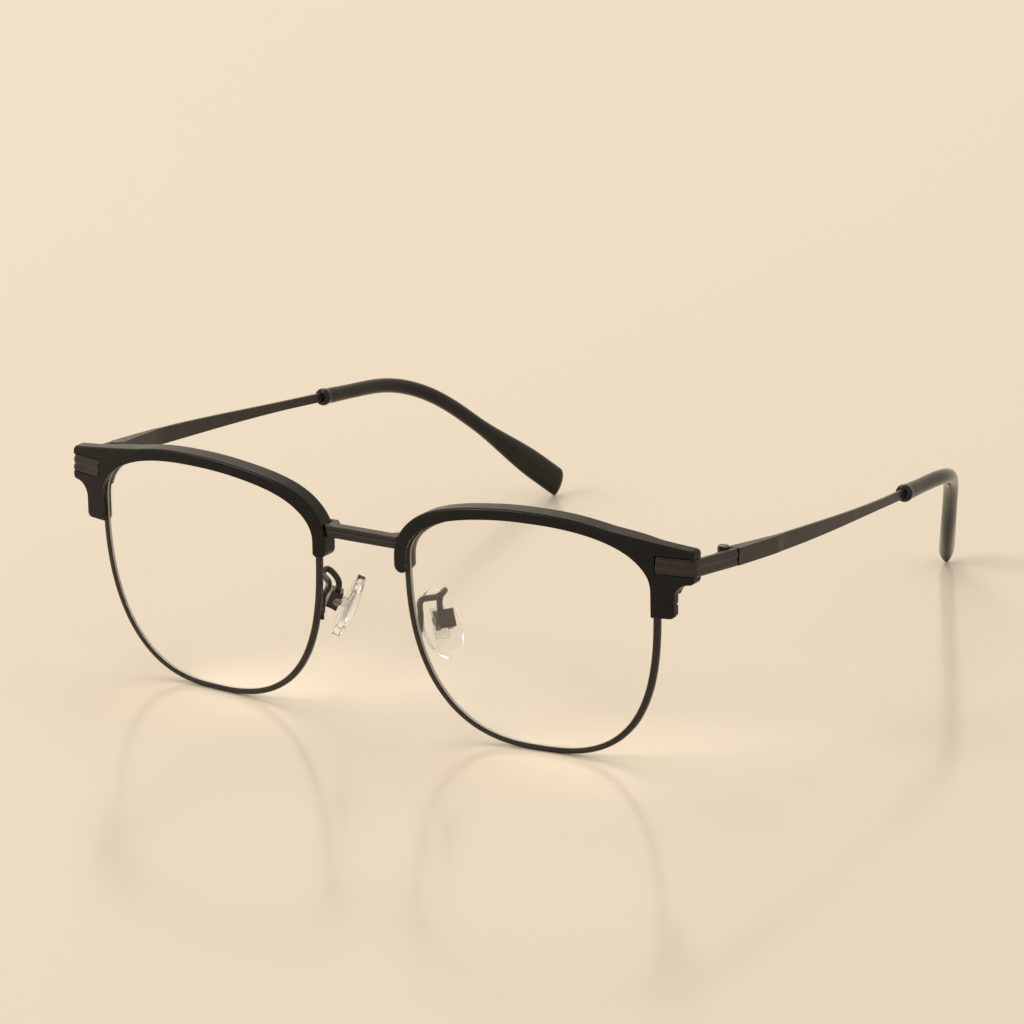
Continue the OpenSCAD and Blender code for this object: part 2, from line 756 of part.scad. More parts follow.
module temple_blade() {
    side_n = 14;
    intersection() {
        translate([0, 0, -arm_h]) linear_extrude(2 * arm_h) polygon([
            [temple_out, temple_start], [temple_out, temple_start + wedge_len],
            [blade_out, temple_start + wedge_len + wedge_step],
            [blade_out, temple_end], [blade_out - blade_t, temple_end],
            [blade_out - blade_t, temple_start + wedge_len + wedge_step],
            [temple_out - wedge_rear_t, temple_start + wedge_len],
            [temple_out - seam_t, temple_start]]);
        translate([temple_out - seam_t - over, 0, 0]) rotate([90, 0, 90])
            linear_extrude(seam_t + 2 * over) polygon(concat(
                [for (i = [0:side_n]) let(k = i / side_n) [temple_start + temple_len * k, -temple_half(k)]],
                [for (i = [side_n:-1:0]) let(k = i / side_n) [temple_start + temple_len * k, temple_half(k)]]));
    }
}

// Rings of the tip: bead at the mouth, bend, straight end and a cap that hangs below the axis
collar_len = 1.8;
collar_shares = [[0, 0.72], [0.12, 0.9], [0.35, 1], [0.65, 1], [0.88, 0.93], [1, 0.88]];
function tip_rings() = concat(
    [for (c = collar_shares) [tip_at(collar_len * c[0]), tip_dir(0), collar_r * c[1]]],
    [for (i = [2:bend_steps]) let(s = i * bend_step) [tip_at(s), tip_dir(s), tip_radius(s)]],
    [for (i = [1:end_steps]) let(s = bend_end + end_len * i / end_steps)
        [tip_at(s), end_dir, tip_radius(s)]],
    [for (b = cap_angles) [cap_point(b), end_dir, tip_end_r * cos(b)]]);

// Core wire that runs on from the temple inside the tip
core_len = tip_len - core_end_gap;
core_n = 24;
module core(grow) {
    n = core_n;
    stations = [for (i = [0:n]) core_len * i / n];
    path = concat([tip_at(0) - [0, blade_t, 0]], [for (i = [1:n]) tip_at(stations[i] + (i == n ? grow : 0))]);
    sweep(path, [for (i = [0:n]) core_r + grow], core_sides);
}

module temple(side) {
    color([0.17, 0.16, 0.15]) both(side) in_temple_frame() difference() {
        union() {
            temple_blade();
            core(0);
        }
        translate([barrel_r - tongue_t - fit, 0, eye_bottom - fit])
            cube([tongue_t + 2 * fit, seam_y + tongue_len + fit, eye_h + 2 * fit]);
    }
}

module temple_tip(side) {
    rings = tip_rings();
    color([0.03, 0.03, 0.03]) both(side) in_temple_frame() difference() {
        tube([for (g = rings) g[0]], [for (g = rings) g[1]], [for (g = rings) g[2]], tip_sides);
        core(fit);
    }
}

// Frame of a nose pad: X points out of the pad face, Z up along it
module in_pad_frame() {
    translate(pad_at) rotate([0, pad_lean, 180 - pad_splay]) children();
}

// Vector of the pad frame in the frame of the glasses
function pad_vector(v) = let(
    x = v[0] * cos(pad_lean) + v[2] * sin(pad_lean), z = v[2] * cos(pad_lean) - v[0] * sin(pad_lean))
    [-x * cos(pad_splay) - v[1] * sin(pad_splay), x * sin(pad_splay) - v[1] * cos(pad_splay), z];

// Route of the wire: x, y and z as shares of the reach sideways, backward and upward
wire_shares = [[0, 0, 0], [-0.14, 0, 0.3], [-0.2, 0.03, 0.62], [-0.1, 0.24, 0.8], [0.2, 0.62, 0.78], [0.4, 0.96, 0.84]];
wire_side = 3;
wire_steps = 4;
foot_at = lens_point(foot_angle, 0);
pad_at = [lens_gap / 2 + pad_side, front_y + pad_back_set, foot_at[1] + pad_rise];
module pad_wire() {
    start = [foot_at[0] - slack, front_surface(foot_at[0], foot_at[1], 0) + rim_depth + wire_r + foot_seat,
        foot_at[1]];
    box_top = pad_at + pad_vector([-box_wall, 0, box_r * 0.75]);
    neck = box_top + pad_vector([-box_wall / 2, 0, box_r]);
    points = concat([for (w = wire_shares) start + [w[0] * wire_side, w[1] * arm_reach, w[2] * arm_rise]],
        [neck + [0, 0, box_r * 0.8], neck, box_top]);
    path = spline(points, wire_steps);
    sweep(path, [for (p = path) wire_r], core_sides);
}

module pad_box() {
    half = tab_t / 2 + tab_gap + cheek_t;
    in_pad_frame() difference() {
        intersection() {
            along_y(-half, half) union() {
                circle(r = box_r);
                translate([-box_r, -box_r * 0.9]) square([box_r, box_r * 1.8]);
            }
            translate([-tab_r - box_wall - tab_gap * 2, -half, -box_r])
                cube([tab_r + box_wall + tab_gap * 2 + box_front, 2 * half, 2 * box_r]);
        }
        translate([-tab_r - tab_gap * 2, -tab_t / 2 - tab_gap, -box_r - over])
            cube([2 * box_r + over, tab_t + 2 * tab_gap, box_r + over + tab_r + 2 * tab_gap]);
        along_y(-box_r - over, box_r + over) circle(r = pad_screw_r + fit);
    }
}

// Brazed foot between the wire and the back of the rim
foot_seat = 0.2;
foot_h = 2.2;
module pad_foot() {
    intersection() {
        front_prism() translate([foot_at[0] - slack - wire_r, foot_at[1] - foot_h / 2])
            square([2 * wire_r, foot_h]);
        face_shell(rim_depth + fit, rim_depth + wire_r);
    }
}

module pad_arm(side) {
    color([0.17, 0.165, 0.16]) both(side) union() {
        pad_foot();
        pad_wire();
        pad_box();
    }
}

module core_plate(grow) {
    translate([pad_back + (pad_t - core_plate_t) / 3 - grow, -core_plate_w / 2 - grow, -core_plate_h / 2 - grow])
        cube([core_plate_t + 2 * grow, core_plate_w + 2 * grow, core_plate_h + 2 * grow]);
    translate([0, -tab_t / 2 - grow, -tab_r * 0.8 - grow])
        cube([pad_back + (pad_t - core_plate_t) / 3 + core_plate_t / 2, tab_t + 2 * grow, 2 * (tab_r * 0.8 + grow)]);
}

// Stiff insert of the pad: a plate in the silicone and an eye in the clevis
module pad_core(side) {
    color([0.85, 0.86, 0.86]) both(side) in_pad_frame() difference() {
        union() {
            core_plate(0);
            along_y(-tab_t / 2, tab_t / 2) circle(r = tab_r);
        }
        along_y(-over * 2, over * 2) circle(r = pad_screw_r + screw_clear);
    }
}

module nose_pad(side) {
    color([0.94, 0.95, 0.95, 0.6]) both(side) in_pad_frame() difference() {
        intersection() {
            translate([pad_back, 0, 0]) rotate([90, 0, 90]) linear_extrude(pad_t) rotate(-pad_turn) pad_face();
            translate([pad_back + pad_t - pad_crown_r, 0, 0]) sphere(r = pad_crown_r, $fn = 96);
        }
        core_plate(fit);
    }
}

// Front view of the pad: narrower at the top
pad_top_share = 0.82;
module pad_face() {
    polygon([for (i = [0:35]) let(a = i * 10, k = (1 + sin(a)) / 2)
        [pad_w / 2 * cos(a) * (1 - (1 - pad_top_share) * k), pad_h / 2 * sin(a)]]);
}

module pad_screw(side) {
    half = tab_t / 2 + tab_gap + cheek_t;
    color([0.34, 0.33, 0.32]) both(side) in_pad_frame() union() {
        along_y(-half, half) circle(r = pad_screw_r);
        along_y(half, half + pad_screw_r) circle(r = 2 * pad_screw_r);
    }
}

rim(1);  // left_rim
rim(-1);  // right_rim
lens(1);  // left_lens
lens(-1);  // right_lens
lock_screw(1);  // left_lock_screw
lock_screw(-1);  // right_lock_screw
brow(1);  // left_brow
brow(-1);  // right_brow
bridge();
endpiece(1);  // left_endpiece
endpiece(-1);  // right_endpiece
brow_screws(1);  // left_brow_screws
brow_screws(-1);  // right_brow_screws
hinge_front(1);  // left_hinge_front
hinge_front(-1);  // right_hinge_front
hinge_eye(1);  // left_hinge_eye
hinge_eye(-1);  // right_hinge_eye
hinge_screw(1);  // left_hinge_screw
hinge_screw(-1);  // right_hinge_screw
temple(1);  // left_temple
temple(-1);  // right_temple
temple_tip(1);  // left_temple_tip
temple_tip(-1);  // right_temple_tip
pad_arm(1);  // left_pad_arm
pad_arm(-1);  // right_pad_arm
nose_pad(1);  // left_nose_pad
nose_pad(-1);  // right_nose_pad
pad_core(1);  // left_pad_core
pad_core(-1);  // right_pad_core
pad_screw(1);  // left_pad_screw
pad_screw(-1);  // right_pad_screw
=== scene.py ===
import json
import math

import bmesh
import bpy
import numpy as np
from mathutils import Matrix, Vector
from mathutils.geometry import delaunay_2d_cdt


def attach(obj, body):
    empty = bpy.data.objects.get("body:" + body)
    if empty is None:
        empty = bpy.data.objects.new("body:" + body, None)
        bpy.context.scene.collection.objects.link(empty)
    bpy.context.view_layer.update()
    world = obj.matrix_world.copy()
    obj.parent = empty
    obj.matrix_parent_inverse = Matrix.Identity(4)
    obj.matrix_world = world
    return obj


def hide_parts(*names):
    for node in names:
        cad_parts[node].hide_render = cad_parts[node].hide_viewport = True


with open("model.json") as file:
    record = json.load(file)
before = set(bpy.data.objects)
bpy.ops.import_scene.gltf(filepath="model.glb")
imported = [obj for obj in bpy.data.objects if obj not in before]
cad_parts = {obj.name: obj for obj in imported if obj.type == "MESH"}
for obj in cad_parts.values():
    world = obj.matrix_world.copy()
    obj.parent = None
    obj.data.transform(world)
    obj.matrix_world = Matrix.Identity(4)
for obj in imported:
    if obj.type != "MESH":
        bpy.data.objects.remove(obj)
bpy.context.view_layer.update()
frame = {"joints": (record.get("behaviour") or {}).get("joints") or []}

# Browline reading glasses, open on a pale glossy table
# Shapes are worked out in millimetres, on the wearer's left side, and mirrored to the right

MM = 0.001
SIDES = (("left", 1), ("right", -1))
JOINTS = {j["name"]: j for j in frame["joints"]}
HINGE_AT = np.array(JOINTS["left_temple_fold"]["pos_m"]) / MM
PAD_AT = np.array(JOINTS["left_pad_rock"]["pos_m"]) / MM

# Lens outline and face curve
LENS_W, LENS_H, LENS_GAP = 51.9, 46.0, 20.1
NASAL_SHARE, UPPER_SHARE = 0.516, 0.248
FACE_R, FACE_X, FACE_Z = 178.0, 21.4, 35.0
LENS_T, LENS_SET, LENS_BACK_R = 1.5, 0.2, 400.0
RIM_W, RIM_DEPTH, GROOVE = 1.1, 1.2, 0.5
# Squareness of each quarter of the outline: upper outer, upper nasal, lower nasal, lower outer
POWERS = (2.33, 2.14, 2.62, 2.68)
NASAL_W = LENS_W * NASAL_SHARE
OUTER_W = LENS_W - NASAL_W
UPPER_H = LENS_H * UPPER_SHARE
LOWER_H = LENS_H - UPPER_H
RIM_LIP = RIM_W - GROOVE
LENS_X = LENS_GAP / 2 + NASAL_W
LENS_Z = RIM_LIP + LOWER_H
LENS_TOP = LENS_Z + UPPER_H
LENS_OUTER_X = LENS_X + OUTER_W
FIT, SLACK = 0.03, 0.1

# Brow
BROW_WALL, BROW_FLANGE, BROW_LIP = 1.15, 1.2, 0.35
LIP_EXTRA, FLANGE_LIP = 0.45, 0.8
BROW_TOP_W, BROW_NOSE_W, BROW_TEMPLE_W = 1.5, 2.3, 2.4
LEG_W, LEG_FILLET, LEG_R, LOBE_R = 4.0, 2.9, 0.9, 0.85
BROW_SPAN, END_DROP, ARM_DROP, LEG_DROP = 139.4, 2.85, 6.3, 4.85
BROW_END_X = BROW_SPAN / 2
END_TOP = LENS_TOP - END_DROP
ARM_Z = LENS_TOP - ARM_DROP
LEG_BOTTOM = LENS_Z - LEG_DROP
LOBE_H, END_DEPTH, TOP_SLOPE = 1.45, 1.45, 0.19
NOSE_LOBE_GROW, NOSE_LOBE_DROP = 0.2, 1.6
NOSE_LOBE_R = (BROW_NOSE_W + BROW_LIP) / 2 + NOSE_LOBE_GROW
NOSE_LOBE_AT = (LENS_GAP / 2 - BROW_NOSE_W + NOSE_LOBE_R, LENS_Z - NOSE_LOBE_DROP)
BAND_W, BAND_EASE = BROW_NOSE_W + SLACK, 3.0
FRONT_EDGE, TOP_BEVEL, BACK_EDGE = 0.24, 0.34, 0.12
OUTLINE_STEP = 0.6
# Angles in degrees round the lens, or round the nose lobe, where the brow's outline and widths change
ARCH_START, ARCH_END, NOSE_LOBE_END, FLANGE_START = 55.0, 180.0, 317.5, 181.4
NOSE_WIDENS, TEMPLE_WIDENS = (105, 150), (25, 65)
LIP_WIDENS, LIP_NARROWS = (0, 35), (100, 145)

# Endpiece, hinge and temple
ARM_H, ARM_T, ARM_LEN, PLATE_LEN, BEND_R = 3.35, 1.0, 12.75, 6.7, 0.5
SPLAY, PANTO, TOE_IN = math.radians(3.6), math.radians(5.8), math.radians(2.75)
BARREL_R, EYE_H, HINGE_SCREW_R, KNUCKLE_GAP = 1.15, 1.3, 0.6, 0.05
BARREL_RISE, BARREL_ROOM, BORE_GAP = 0.3, 0.2, 0.05
SEAM_Y, SEAM_GAP = 1.45, 0.15
ARM_INNER = BARREL_R + BARREL_ROOM
BEND_OUT_R = BEND_R + ARM_T
BEND_PROUD = 0.45
BEND_X = BROW_END_X - BEND_OUT_R + BEND_PROUD
FORK_T, FORK_EXTRA = 0.9, 0.6
FORK_GAP = BROW_WALL + END_DEPTH + 4 * SLACK
FORK_LEN, FORK_H = PLATE_LEN + FORK_EXTRA, ARM_H - 3 * SLACK
BARREL_TOP, BARREL_BOTTOM = ARM_H / 2 + BARREL_RISE, -ARM_H / 2 - KNUCKLE_GAP
EYE_BOTTOM = -EYE_H / 2 + SLACK
TEMPLE_LEN, BLADE_T, SEAM_T, TEMPLE_REAR_H = 67.3, 0.75, 2.75, 1.8
WEDGE_LEN, WEDGE_STEP, BEVEL_OUT, BOW = 14.0, 2.5, 0.2, 1.2
TEMPLE_PROUD = 0.15
TEMPLE_OUT = ARM_INNER + ARM_T + TEMPLE_PROUD
TEMPLE_START = SEAM_Y + SEAM_GAP
TEMPLE_END = TEMPLE_START + TEMPLE_LEN
BLADE_OUT = TEMPLE_OUT - BEVEL_OUT
TEMPLE_MID_X = BLADE_OUT - BLADE_T / 2

# Temple tip
TIP_MOUTH_R, TIP_NECK_R, TIP_END_R, TIP_SIDE_R = 1.62, 1.48, 2.75, 1.55
BEND_LEN, STRAIGHT_LEN, NECK_LEN = 31.5, 12.0, 9.0
TUCK_START, TUCK_END = 14.0, 31.0
CLUB_START, CLUB_END = 23.0, 5.0  # back from the end of the tip
EAR_DROP, EAR_TUCK = math.radians(38.5), math.radians(17.6)
BOW_END = math.atan(4 * BOW / TEMPLE_LEN)
CAP_LONG, CAP_KEEL = 0.85, 0.95

# Nose pads
PAD_H, PAD_W, PAD_T, PAD_CROWN_R = 13.3, 8.6, 2.4, 26.0
PAD_OFF_Y, PAD_OFF_Z = -0.6, -0.4
PAD_SPLAY, PAD_LEAN = math.radians(33), math.radians(25)
WIRE_R, PAD_SCREW_R, PAD_BACK, BOX_R = 0.6, 0.42, 1.75, 1.9


# Curves and places

def smooth(t, a, b):
    """Rises gently from 0 at a to 1 at b."""
    k = np.clip((np.asarray(t, float) - a) / (b - a), 0, 1)
    return k * k * (3 - 2 * k)


def unit(v):
    return v / np.linalg.norm(v)


def lens_point(a, grow):
    """Point x, z of the lens outline at the angle a in degrees, moved outward by grow."""
    c, s = math.cos(math.radians(a)), math.sin(math.radians(a))
    aw = OUTER_W if c >= 0 else NASAL_W
    bh = UPPER_H if s >= 0 else LOWER_H
    n = POWERS[(0 if c >= 0 else 1) if s >= 0 else (3 if c >= 0 else 2)]
    u = math.copysign(abs(c) ** (2 / n), c)
    v = math.copysign(abs(s) ** (2 / n), s)
    nx = math.copysign(abs(u) ** (n - 1), u) / aw
    nz = math.copysign(abs(v) ** (n - 1), v) / bh
    size = math.hypot(nx, nz)
    return LENS_X + aw * u + grow * nx / size, LENS_Z + bh * v + grow * nz / size


def face_back(x, z, rise):
    """Y of the ball that the front follows, made larger by rise, from the front's foremost point."""
    return FACE_R - np.sqrt((FACE_R + rise) ** 2 - (x - FACE_X) ** 2 - (z - FACE_Z) ** 2)


PLATE_SLOPE = math.asin((BEND_X - FACE_X) / (FACE_R + BROW_WALL))
BEND_ANGLE = math.pi / 2 - SPLAY - PLATE_SLOPE
BEND_LOCAL = (ARM_INNER - BEND_R, SEAM_Y - ARM_LEN)
BEND_BACK = (face_back(BEND_X + BEND_OUT_R * math.sin(PLATE_SLOPE), ARM_Z, BROW_WALL)
             + BEND_OUT_R * math.cos(PLATE_SLOPE))
BEND_E = (BEND_LOCAL[0] * math.cos(SPLAY) + BEND_LOCAL[1] * math.sin(SPLAY),
          BEND_LOCAL[1] * math.cos(SPLAY) - BEND_LOCAL[0] * math.sin(SPLAY))
FRONT_Y = HINGE_AT[1] - (BEND_BACK - BEND_E[1] * math.cos(PANTO))


def surface(x, z, depth):
    """Y of the face curve at x, z, moved back by depth."""
    return FRONT_Y + face_back(x, z, -depth)


def turn(angle, axis):
    return Matrix.Rotation(angle, 4, axis)


def shift(x, y, z):
    return Matrix.Translation((x, y, z))


ARM = shift(*HINGE_AT) @ turn(-PANTO, "X") @ turn(-SPLAY, "Z")
TEMPLE = shift(*HINGE_AT) @ turn(-PANTO, "X") @ turn(TOE_IN, "Z")
BEND = ARM @ shift(BEND_LOCAL[0], BEND_LOCAL[1], 0)
PLATE = BEND @ turn(-BEND_ANGLE, "Z")
PAD = shift(*PAD_AT) @ turn(math.pi - PAD_SPLAY, "Z") @ turn(PAD_LEAN, "Y")


def lifted(flat, height, more=0.0):
    """Flat points x, z with y = height(x, z) + more."""
    x, z = flat[:, 0], flat[:, 1]
    return np.stack([x, height(x, z) + more, z], 1)


def at_depth(flat, depth):
    """Flat points x, z on the face curve, moved back by depth."""
    return lifted(flat, lambda x, z: surface(x, z, depth))


def place(matrix, shape):
    """The shape, moved by the matrix."""
    verts, faces = shape
    m = np.array(matrix)
    return np.asarray(verts, float) @ m[:3, :3].T + m[:3, 3], faces


def join(*shapes):
    """One shape of all the vertices and faces."""
    verts, faces = [], []
    for v, f in shapes:
        start = sum(len(w) for w in verts)
        verts.append(np.asarray(v, float))
        faces += [[i + start for i in face] for face in f]
    return np.concatenate(verts), faces


# Mesh builders

WELD, TINY = 1e-4, 1e-6


def loft(rings, loop=False, caps=True):
    """Surface through closed rings of one length, with its ends capped, open or joined."""
    rings = [np.asarray(r, float) for r in rings]
    n, m = len(rings), len(rings[0])
    faces = []
    for i in range(n if loop else n - 1):
        j = (i + 1) % n
        for k in range(m):
            after = (k + 1) % m
            faces.append([i * m + k, j * m + k, j * m + after, i * m + after])
    verts = np.concatenate(rings)
    if caps and not loop:
        for ring, base, flip in ((rings[0], 0, False), (rings[-1], (n - 1) * m, True)):
            centre = len(verts)
            verts = np.concatenate([verts, ring.mean(0)[None]])
            for k in range(m):
                face = [centre, base + k, base + (k + 1) % m]
                faces.append(face[::-1] if flip else face)
    return verts, faces


def tangents(path):
    """Unit direction of the path at each point."""
    step = np.gradient(path, axis=0)
    return step / np.linalg.norm(step, axis=1)[:, None]


def frames(headings):
    """Side and up directions that go with the headings and don't twist."""
    nearly_up = (0.01, 0, 1)
    side = unit(np.cross(nearly_up, headings[0]))
    result = []
    for t in headings:
        side = unit(side - t * np.dot(side, t))
        result.append((side, np.cross(t, side)))
    return result


def tube(path, radii, sides, headings=None):
    """Tube along the path, with one radius or a side and an upward radius at each point."""
    path = np.asarray(path, float)
    headings = tangents(path) if headings is None else headings
    rings = []
    for p, r, (u, v) in zip(path, radii, frames(headings)):
        a = np.linspace(0, 2 * np.pi, sides, endpoint=False)[:, None]
        side_r, up_r = np.broadcast_to(r, 2)
        rings.append(p + side_r * u * np.cos(a) + up_r * v * np.sin(a))
    return loft(rings)


def spline(points, n):
    """Smooth curve through the points, with n steps between neighbours."""
    points = [np.asarray(p, float) for p in points]
    last = len(points) - 1
    result = []
    for i in range(last):
        a, b, c, d = points[max(i - 1, 0)], points[i], points[i + 1], points[min(i + 2, last)]
        for t in np.linspace(0, 1, n, endpoint=False):
            result.append((2 * b + (c - a) * t + (2 * a - 5 * b + 4 * c - d) * t * t
                           + (3 * b - a - 3 * c + d) * t ** 3) / 2)
    return np.array(result + [points[-1]])


ROUND_SIDES, EDGE = 48, 0.06


def turned(profile):
    """A ring about Z for each (radius, height) pair."""
    a = np.linspace(0, 2 * np.pi, ROUND_SIDES, endpoint=False)
    return [np.stack([r * np.cos(a), r * np.sin(a), np.full(ROUND_SIDES, h)], 1) for r, h in profile]


def lathe(profile):
    """Body turned about Z from (radius, height) pairs that start and end on the axis."""
    rings = turned(profile[1:-1])
    verts, faces = loft(rings, caps=False)
    ends = np.array([[0, 0, profile[0][1]], [0, 0, profile[-1][1]]])
    low, high, top = len(verts), len(verts) + 1, (len(rings) - 1) * ROUND_SIDES
    for k in range(ROUND_SIDES):
        after = (k + 1) % ROUND_SIDES
        faces.append([low, after, k])
        faces.append([high, top + k, top + after])
    return np.concatenate([verts, ends]), faces


def knuckle(radius, bore, low, high):
    """Ring along Z with softened rims."""
    return loft(turned([(bore, low), (radius - EDGE, low), (radius, low + EDGE), (radius, high - EDGE),
                        (radius - EDGE, high), (bore, high)]), loop=True)


def box(low, high, edge):
    """Box with softened edges, or sharp ones where edge is 0."""
    low, high = np.asarray(low, float), np.asarray(high, float)
    bm = bmesh.new()
    bmesh.ops.create_cube(bm, size=1)
    for v in bm.verts:
        v.co = Vector((low + high) / 2 + np.array(v.co) * (high - low))
    if edge:
        bmesh.ops.bevel(bm, geom=bm.edges[:], offset=edge, segments=2, profile=0.5, affect="EDGES")
    bm.verts.index_update()
    shape = np.array([v.co[:] for v in bm.verts]), [[v.index for v in f.verts] for f in bm.faces]
    bm.free()
    return shape


def inside(points, outline):
    """Which points lie inside the outline."""
    x, z = points[:, 0][:, None], points[:, 1][:, None]
    a, b = outline, np.roll(outline, -1, 0)
    crosses = (a[:, 1] > z) != (b[:, 1] > z)
    with np.errstate(divide="ignore", invalid="ignore"):
        at = (b[:, 0] - a[:, 0]) * (z - a[:, 1]) / (b[:, 1] - a[:, 1]) + a[:, 0]
    return (crosses & (x < at)).sum(1) % 2 == 1


def gap_to(points, outline):
    """Distance of each point from the nearest point of the outline."""
    return np.sqrt(((points[:, None] - outline[None]) ** 2).sum(2).min(1))


def directions(outline):
    """Unit direction of the closed outline at each point."""
    along = np.roll(outline, -1, 0) - np.roll(outline, 1, 0)
    return along / np.linalg.norm(along, axis=1)[:, None]


def inset(outline, by):
    """The anticlockwise outline, moved inward by one distance or by one at each point."""
    along = directions(outline)
    return outline + np.reshape(by, (-1, 1)) * np.stack([-along[:, 1], along[:, 0]], 1)


def resample(outline, step):
    """Evenly spaced points along a closed outline, with its corners kept."""
    result = []
    for a, b in zip(outline, np.roll(outline, -1, 0)):
        length = np.linalg.norm(b - a)
        n = max(1, round(length / step)) if length > TINY else 0
        result += [a + (b - a) * k / n for k in range(n)]
    return np.array(result)


def cap(ring, spacing):
    """Triangles that fill the ring, with points inside it. Returns the inner points and the faces."""
    margin_share = 0.55
    low, high = ring.min(0), ring.max(0)
    columns, rows = (np.arange(low[i], high[i], spacing) for i in range(2))
    grid = np.stack(np.meshgrid(columns, rows), -1).reshape(-1, 2)
    grid = grid[inside(grid, ring)]
    grid = grid[gap_to(grid, ring) > spacing * margin_share]
    points = [Vector(p) for p in np.concatenate([ring, grid])]
    _, _, faces, origin, _, _ = delaunay_2d_cdt(points, [], [list(range(len(ring)))], 1, TINY)
    index = [o[0] if o else None for o in origin]
    return grid, [[index[i] for i in f] for f in faces if all(index[i] is not None for i in f)]


def plate(outline, front, back, edge, back_edge, spacing=1.0, steps=4):
    """Solid between the surfaces y = front(x, z) and y = back(x, z), with rounded edges."""
    turns = [math.pi / 2 * k / steps for k in range(steps + 1)]
    rings = []
    for side, r, sign, angles in ((front, edge, 1, turns), (back, back_edge, -1, turns[::-1])):
        for t in angles:
            rings.append((inset(outline, r * (1 - math.sin(t))), side, sign * r * (1 - math.cos(t))))
    verts, faces = loft([lifted(*ring) for ring in rings], caps=False)
    n = len(outline)
    for ring, flip in ((rings[0], False), (rings[-1], True)):
        inner, triangles = cap(ring[0], spacing)
        base = (len(rings) - 1) * n if flip else 0
        start = len(verts)
        verts = np.concatenate([verts, lifted(inner, ring[1])])
        for tri in triangles:
            face = [base + i if i < n else start + i - n for i in tri]
            faces.append(face[::-1] if flip else face)
    return verts, faces


def to_mesh(shape):
    """Mesh in millimetres with its normals outward."""
    verts, faces = shape
    mesh = bpy.data.meshes.new("shape")
    mesh.from_pydata([tuple(v) for v in verts], [], faces)
    bm = bmesh.new()
    bm.from_mesh(mesh)
    bmesh.ops.remove_doubles(bm, verts=bm.verts[:], dist=WELD)
    bmesh.ops.recalc_face_normals(bm, faces=bm.faces[:])
    bm.to_mesh(mesh)
    bm.free()
    return mesh


def added(name, data):
    """New object in the scene with the data."""
    obj = bpy.data.objects.new(name, data)
    bpy.context.scene.collection.objects.link(obj)
    return obj


def with_modifiers(mesh, add):
    """Applies to the mesh the modifiers that add(object) makes."""
    obj = added("work", mesh)
    add(obj)
    graph = bpy.context.evaluated_depsgraph_get()
    result = bpy.data.meshes.new_from_object(obj.evaluated_get(graph))
    bpy.data.objects.remove(obj)
    return result


def carve(mesh, cutters):
    """The mesh less the cutters, which are shapes."""
    tools = [added("cutter", to_mesh(shape)) for shape in cutters]

    def add(obj):
        for tool in tools:
            cut = obj.modifiers.new("cut", "BOOLEAN")
            cut.operation = "DIFFERENCE"
            cut.solver = "EXACT"
            cut.object = tool

    result = with_modifiers(mesh, add)
    for tool in tools:
        bpy.data.objects.remove(tool)
    return result


def soften(mesh, width):
    """The mesh with its sharp edges rounded."""
    def add(obj):
        bevel = obj.modifiers.new("bevel", "BEVEL")
        bevel.width = width
        bevel.segments = 3
        bevel.limit_method = "ANGLE"
        bevel.angle_limit = math.radians(35)

    return with_modifiers(mesh, add)


def show(name, mesh, body, material, nodes, side=1, sharp=38):
    """Adds the mesh, given in millimetres for the left side, to the scene as a piece."""
    mesh = mesh.copy()
    mesh.transform(Matrix.Diagonal((side * MM, MM, MM, 1)))
    if side < 0:
        mesh.flip_normals()
    mesh.materials.clear()
    mesh.materials.append(material)
    for polygon in mesh.polygons:
        polygon.use_smooth = True
        polygon.material_index = 0
    mesh.set_sharp_from_angle(angle=math.radians(sharp))
    mesh.name = name
    obj = added(name, mesh)
    weighted = obj.modifiers.new("weighted", "WEIGHTED_NORMAL")
    weighted.keep_sharp = True
    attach(obj, body)
    if nodes:
        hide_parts(*nodes)


def show_pair(kind, mesh, body, material, sharp=38):
    """Shows a piece on both sides, in place of the CAD nodes of its kind."""
    for name, side in SIDES:
        node = f"{name}_{kind}"
        show(f"{node}_form", mesh, body.format(name), material, [node], side, sharp)


# Materials

NOISE_SPAN, TINT_SPAN = (0.3, 0.7), (0.35, 0.68)


def material(name, color, roughness, metallic=0.0, **sockets):
    """Principled material, with further sockets named with _ for each space."""
    mat = bpy.data.materials.new(name)
    mat.use_nodes = True
    shader = mat.node_tree.nodes["Principled BSDF"]
    shader.inputs["Base Color"].default_value = (*color, 1)
    shader.inputs["Roughness"].default_value = roughness
    shader.inputs["Metallic"].default_value = metallic
    for key, value in sockets.items():
        shader.inputs[key.replace("_", " ")].default_value = value
    return mat


def tree(mat):
    """The material's nodes, links and main shader."""
    nodes = mat.node_tree.nodes
    return nodes, mat.node_tree.links, nodes["Principled BSDF"]


def noise(mat, scale, detail):
    """Noise in the piece's own coordinates, with features of about 1 / scale metres."""
    nodes, links, _ = tree(mat)
    own = nodes.new("ShaderNodeTexCoord")
    texture = nodes.new("ShaderNodeTexNoise")
    texture.inputs["Scale"].default_value = scale
    texture.inputs["Detail"].default_value = detail
    links.new(own.outputs["Object"], texture.inputs["Vector"])
    return texture.outputs["Fac"]


def vary(mat, socket, scale, low, high):
    """Lets a shader value wander between low and high."""
    nodes, links, shader = tree(mat)
    span = nodes.new("ShaderNodeMapRange")
    for key, value in zip(("From Min", "From Max", "To Min", "To Max"), (*NOISE_SPAN, low, high)):
        span.inputs[key].default_value = value
    links.new(noise(mat, scale, detail=3.0), span.inputs["Value"])
    links.new(span.outputs["Result"], shader.inputs[socket])


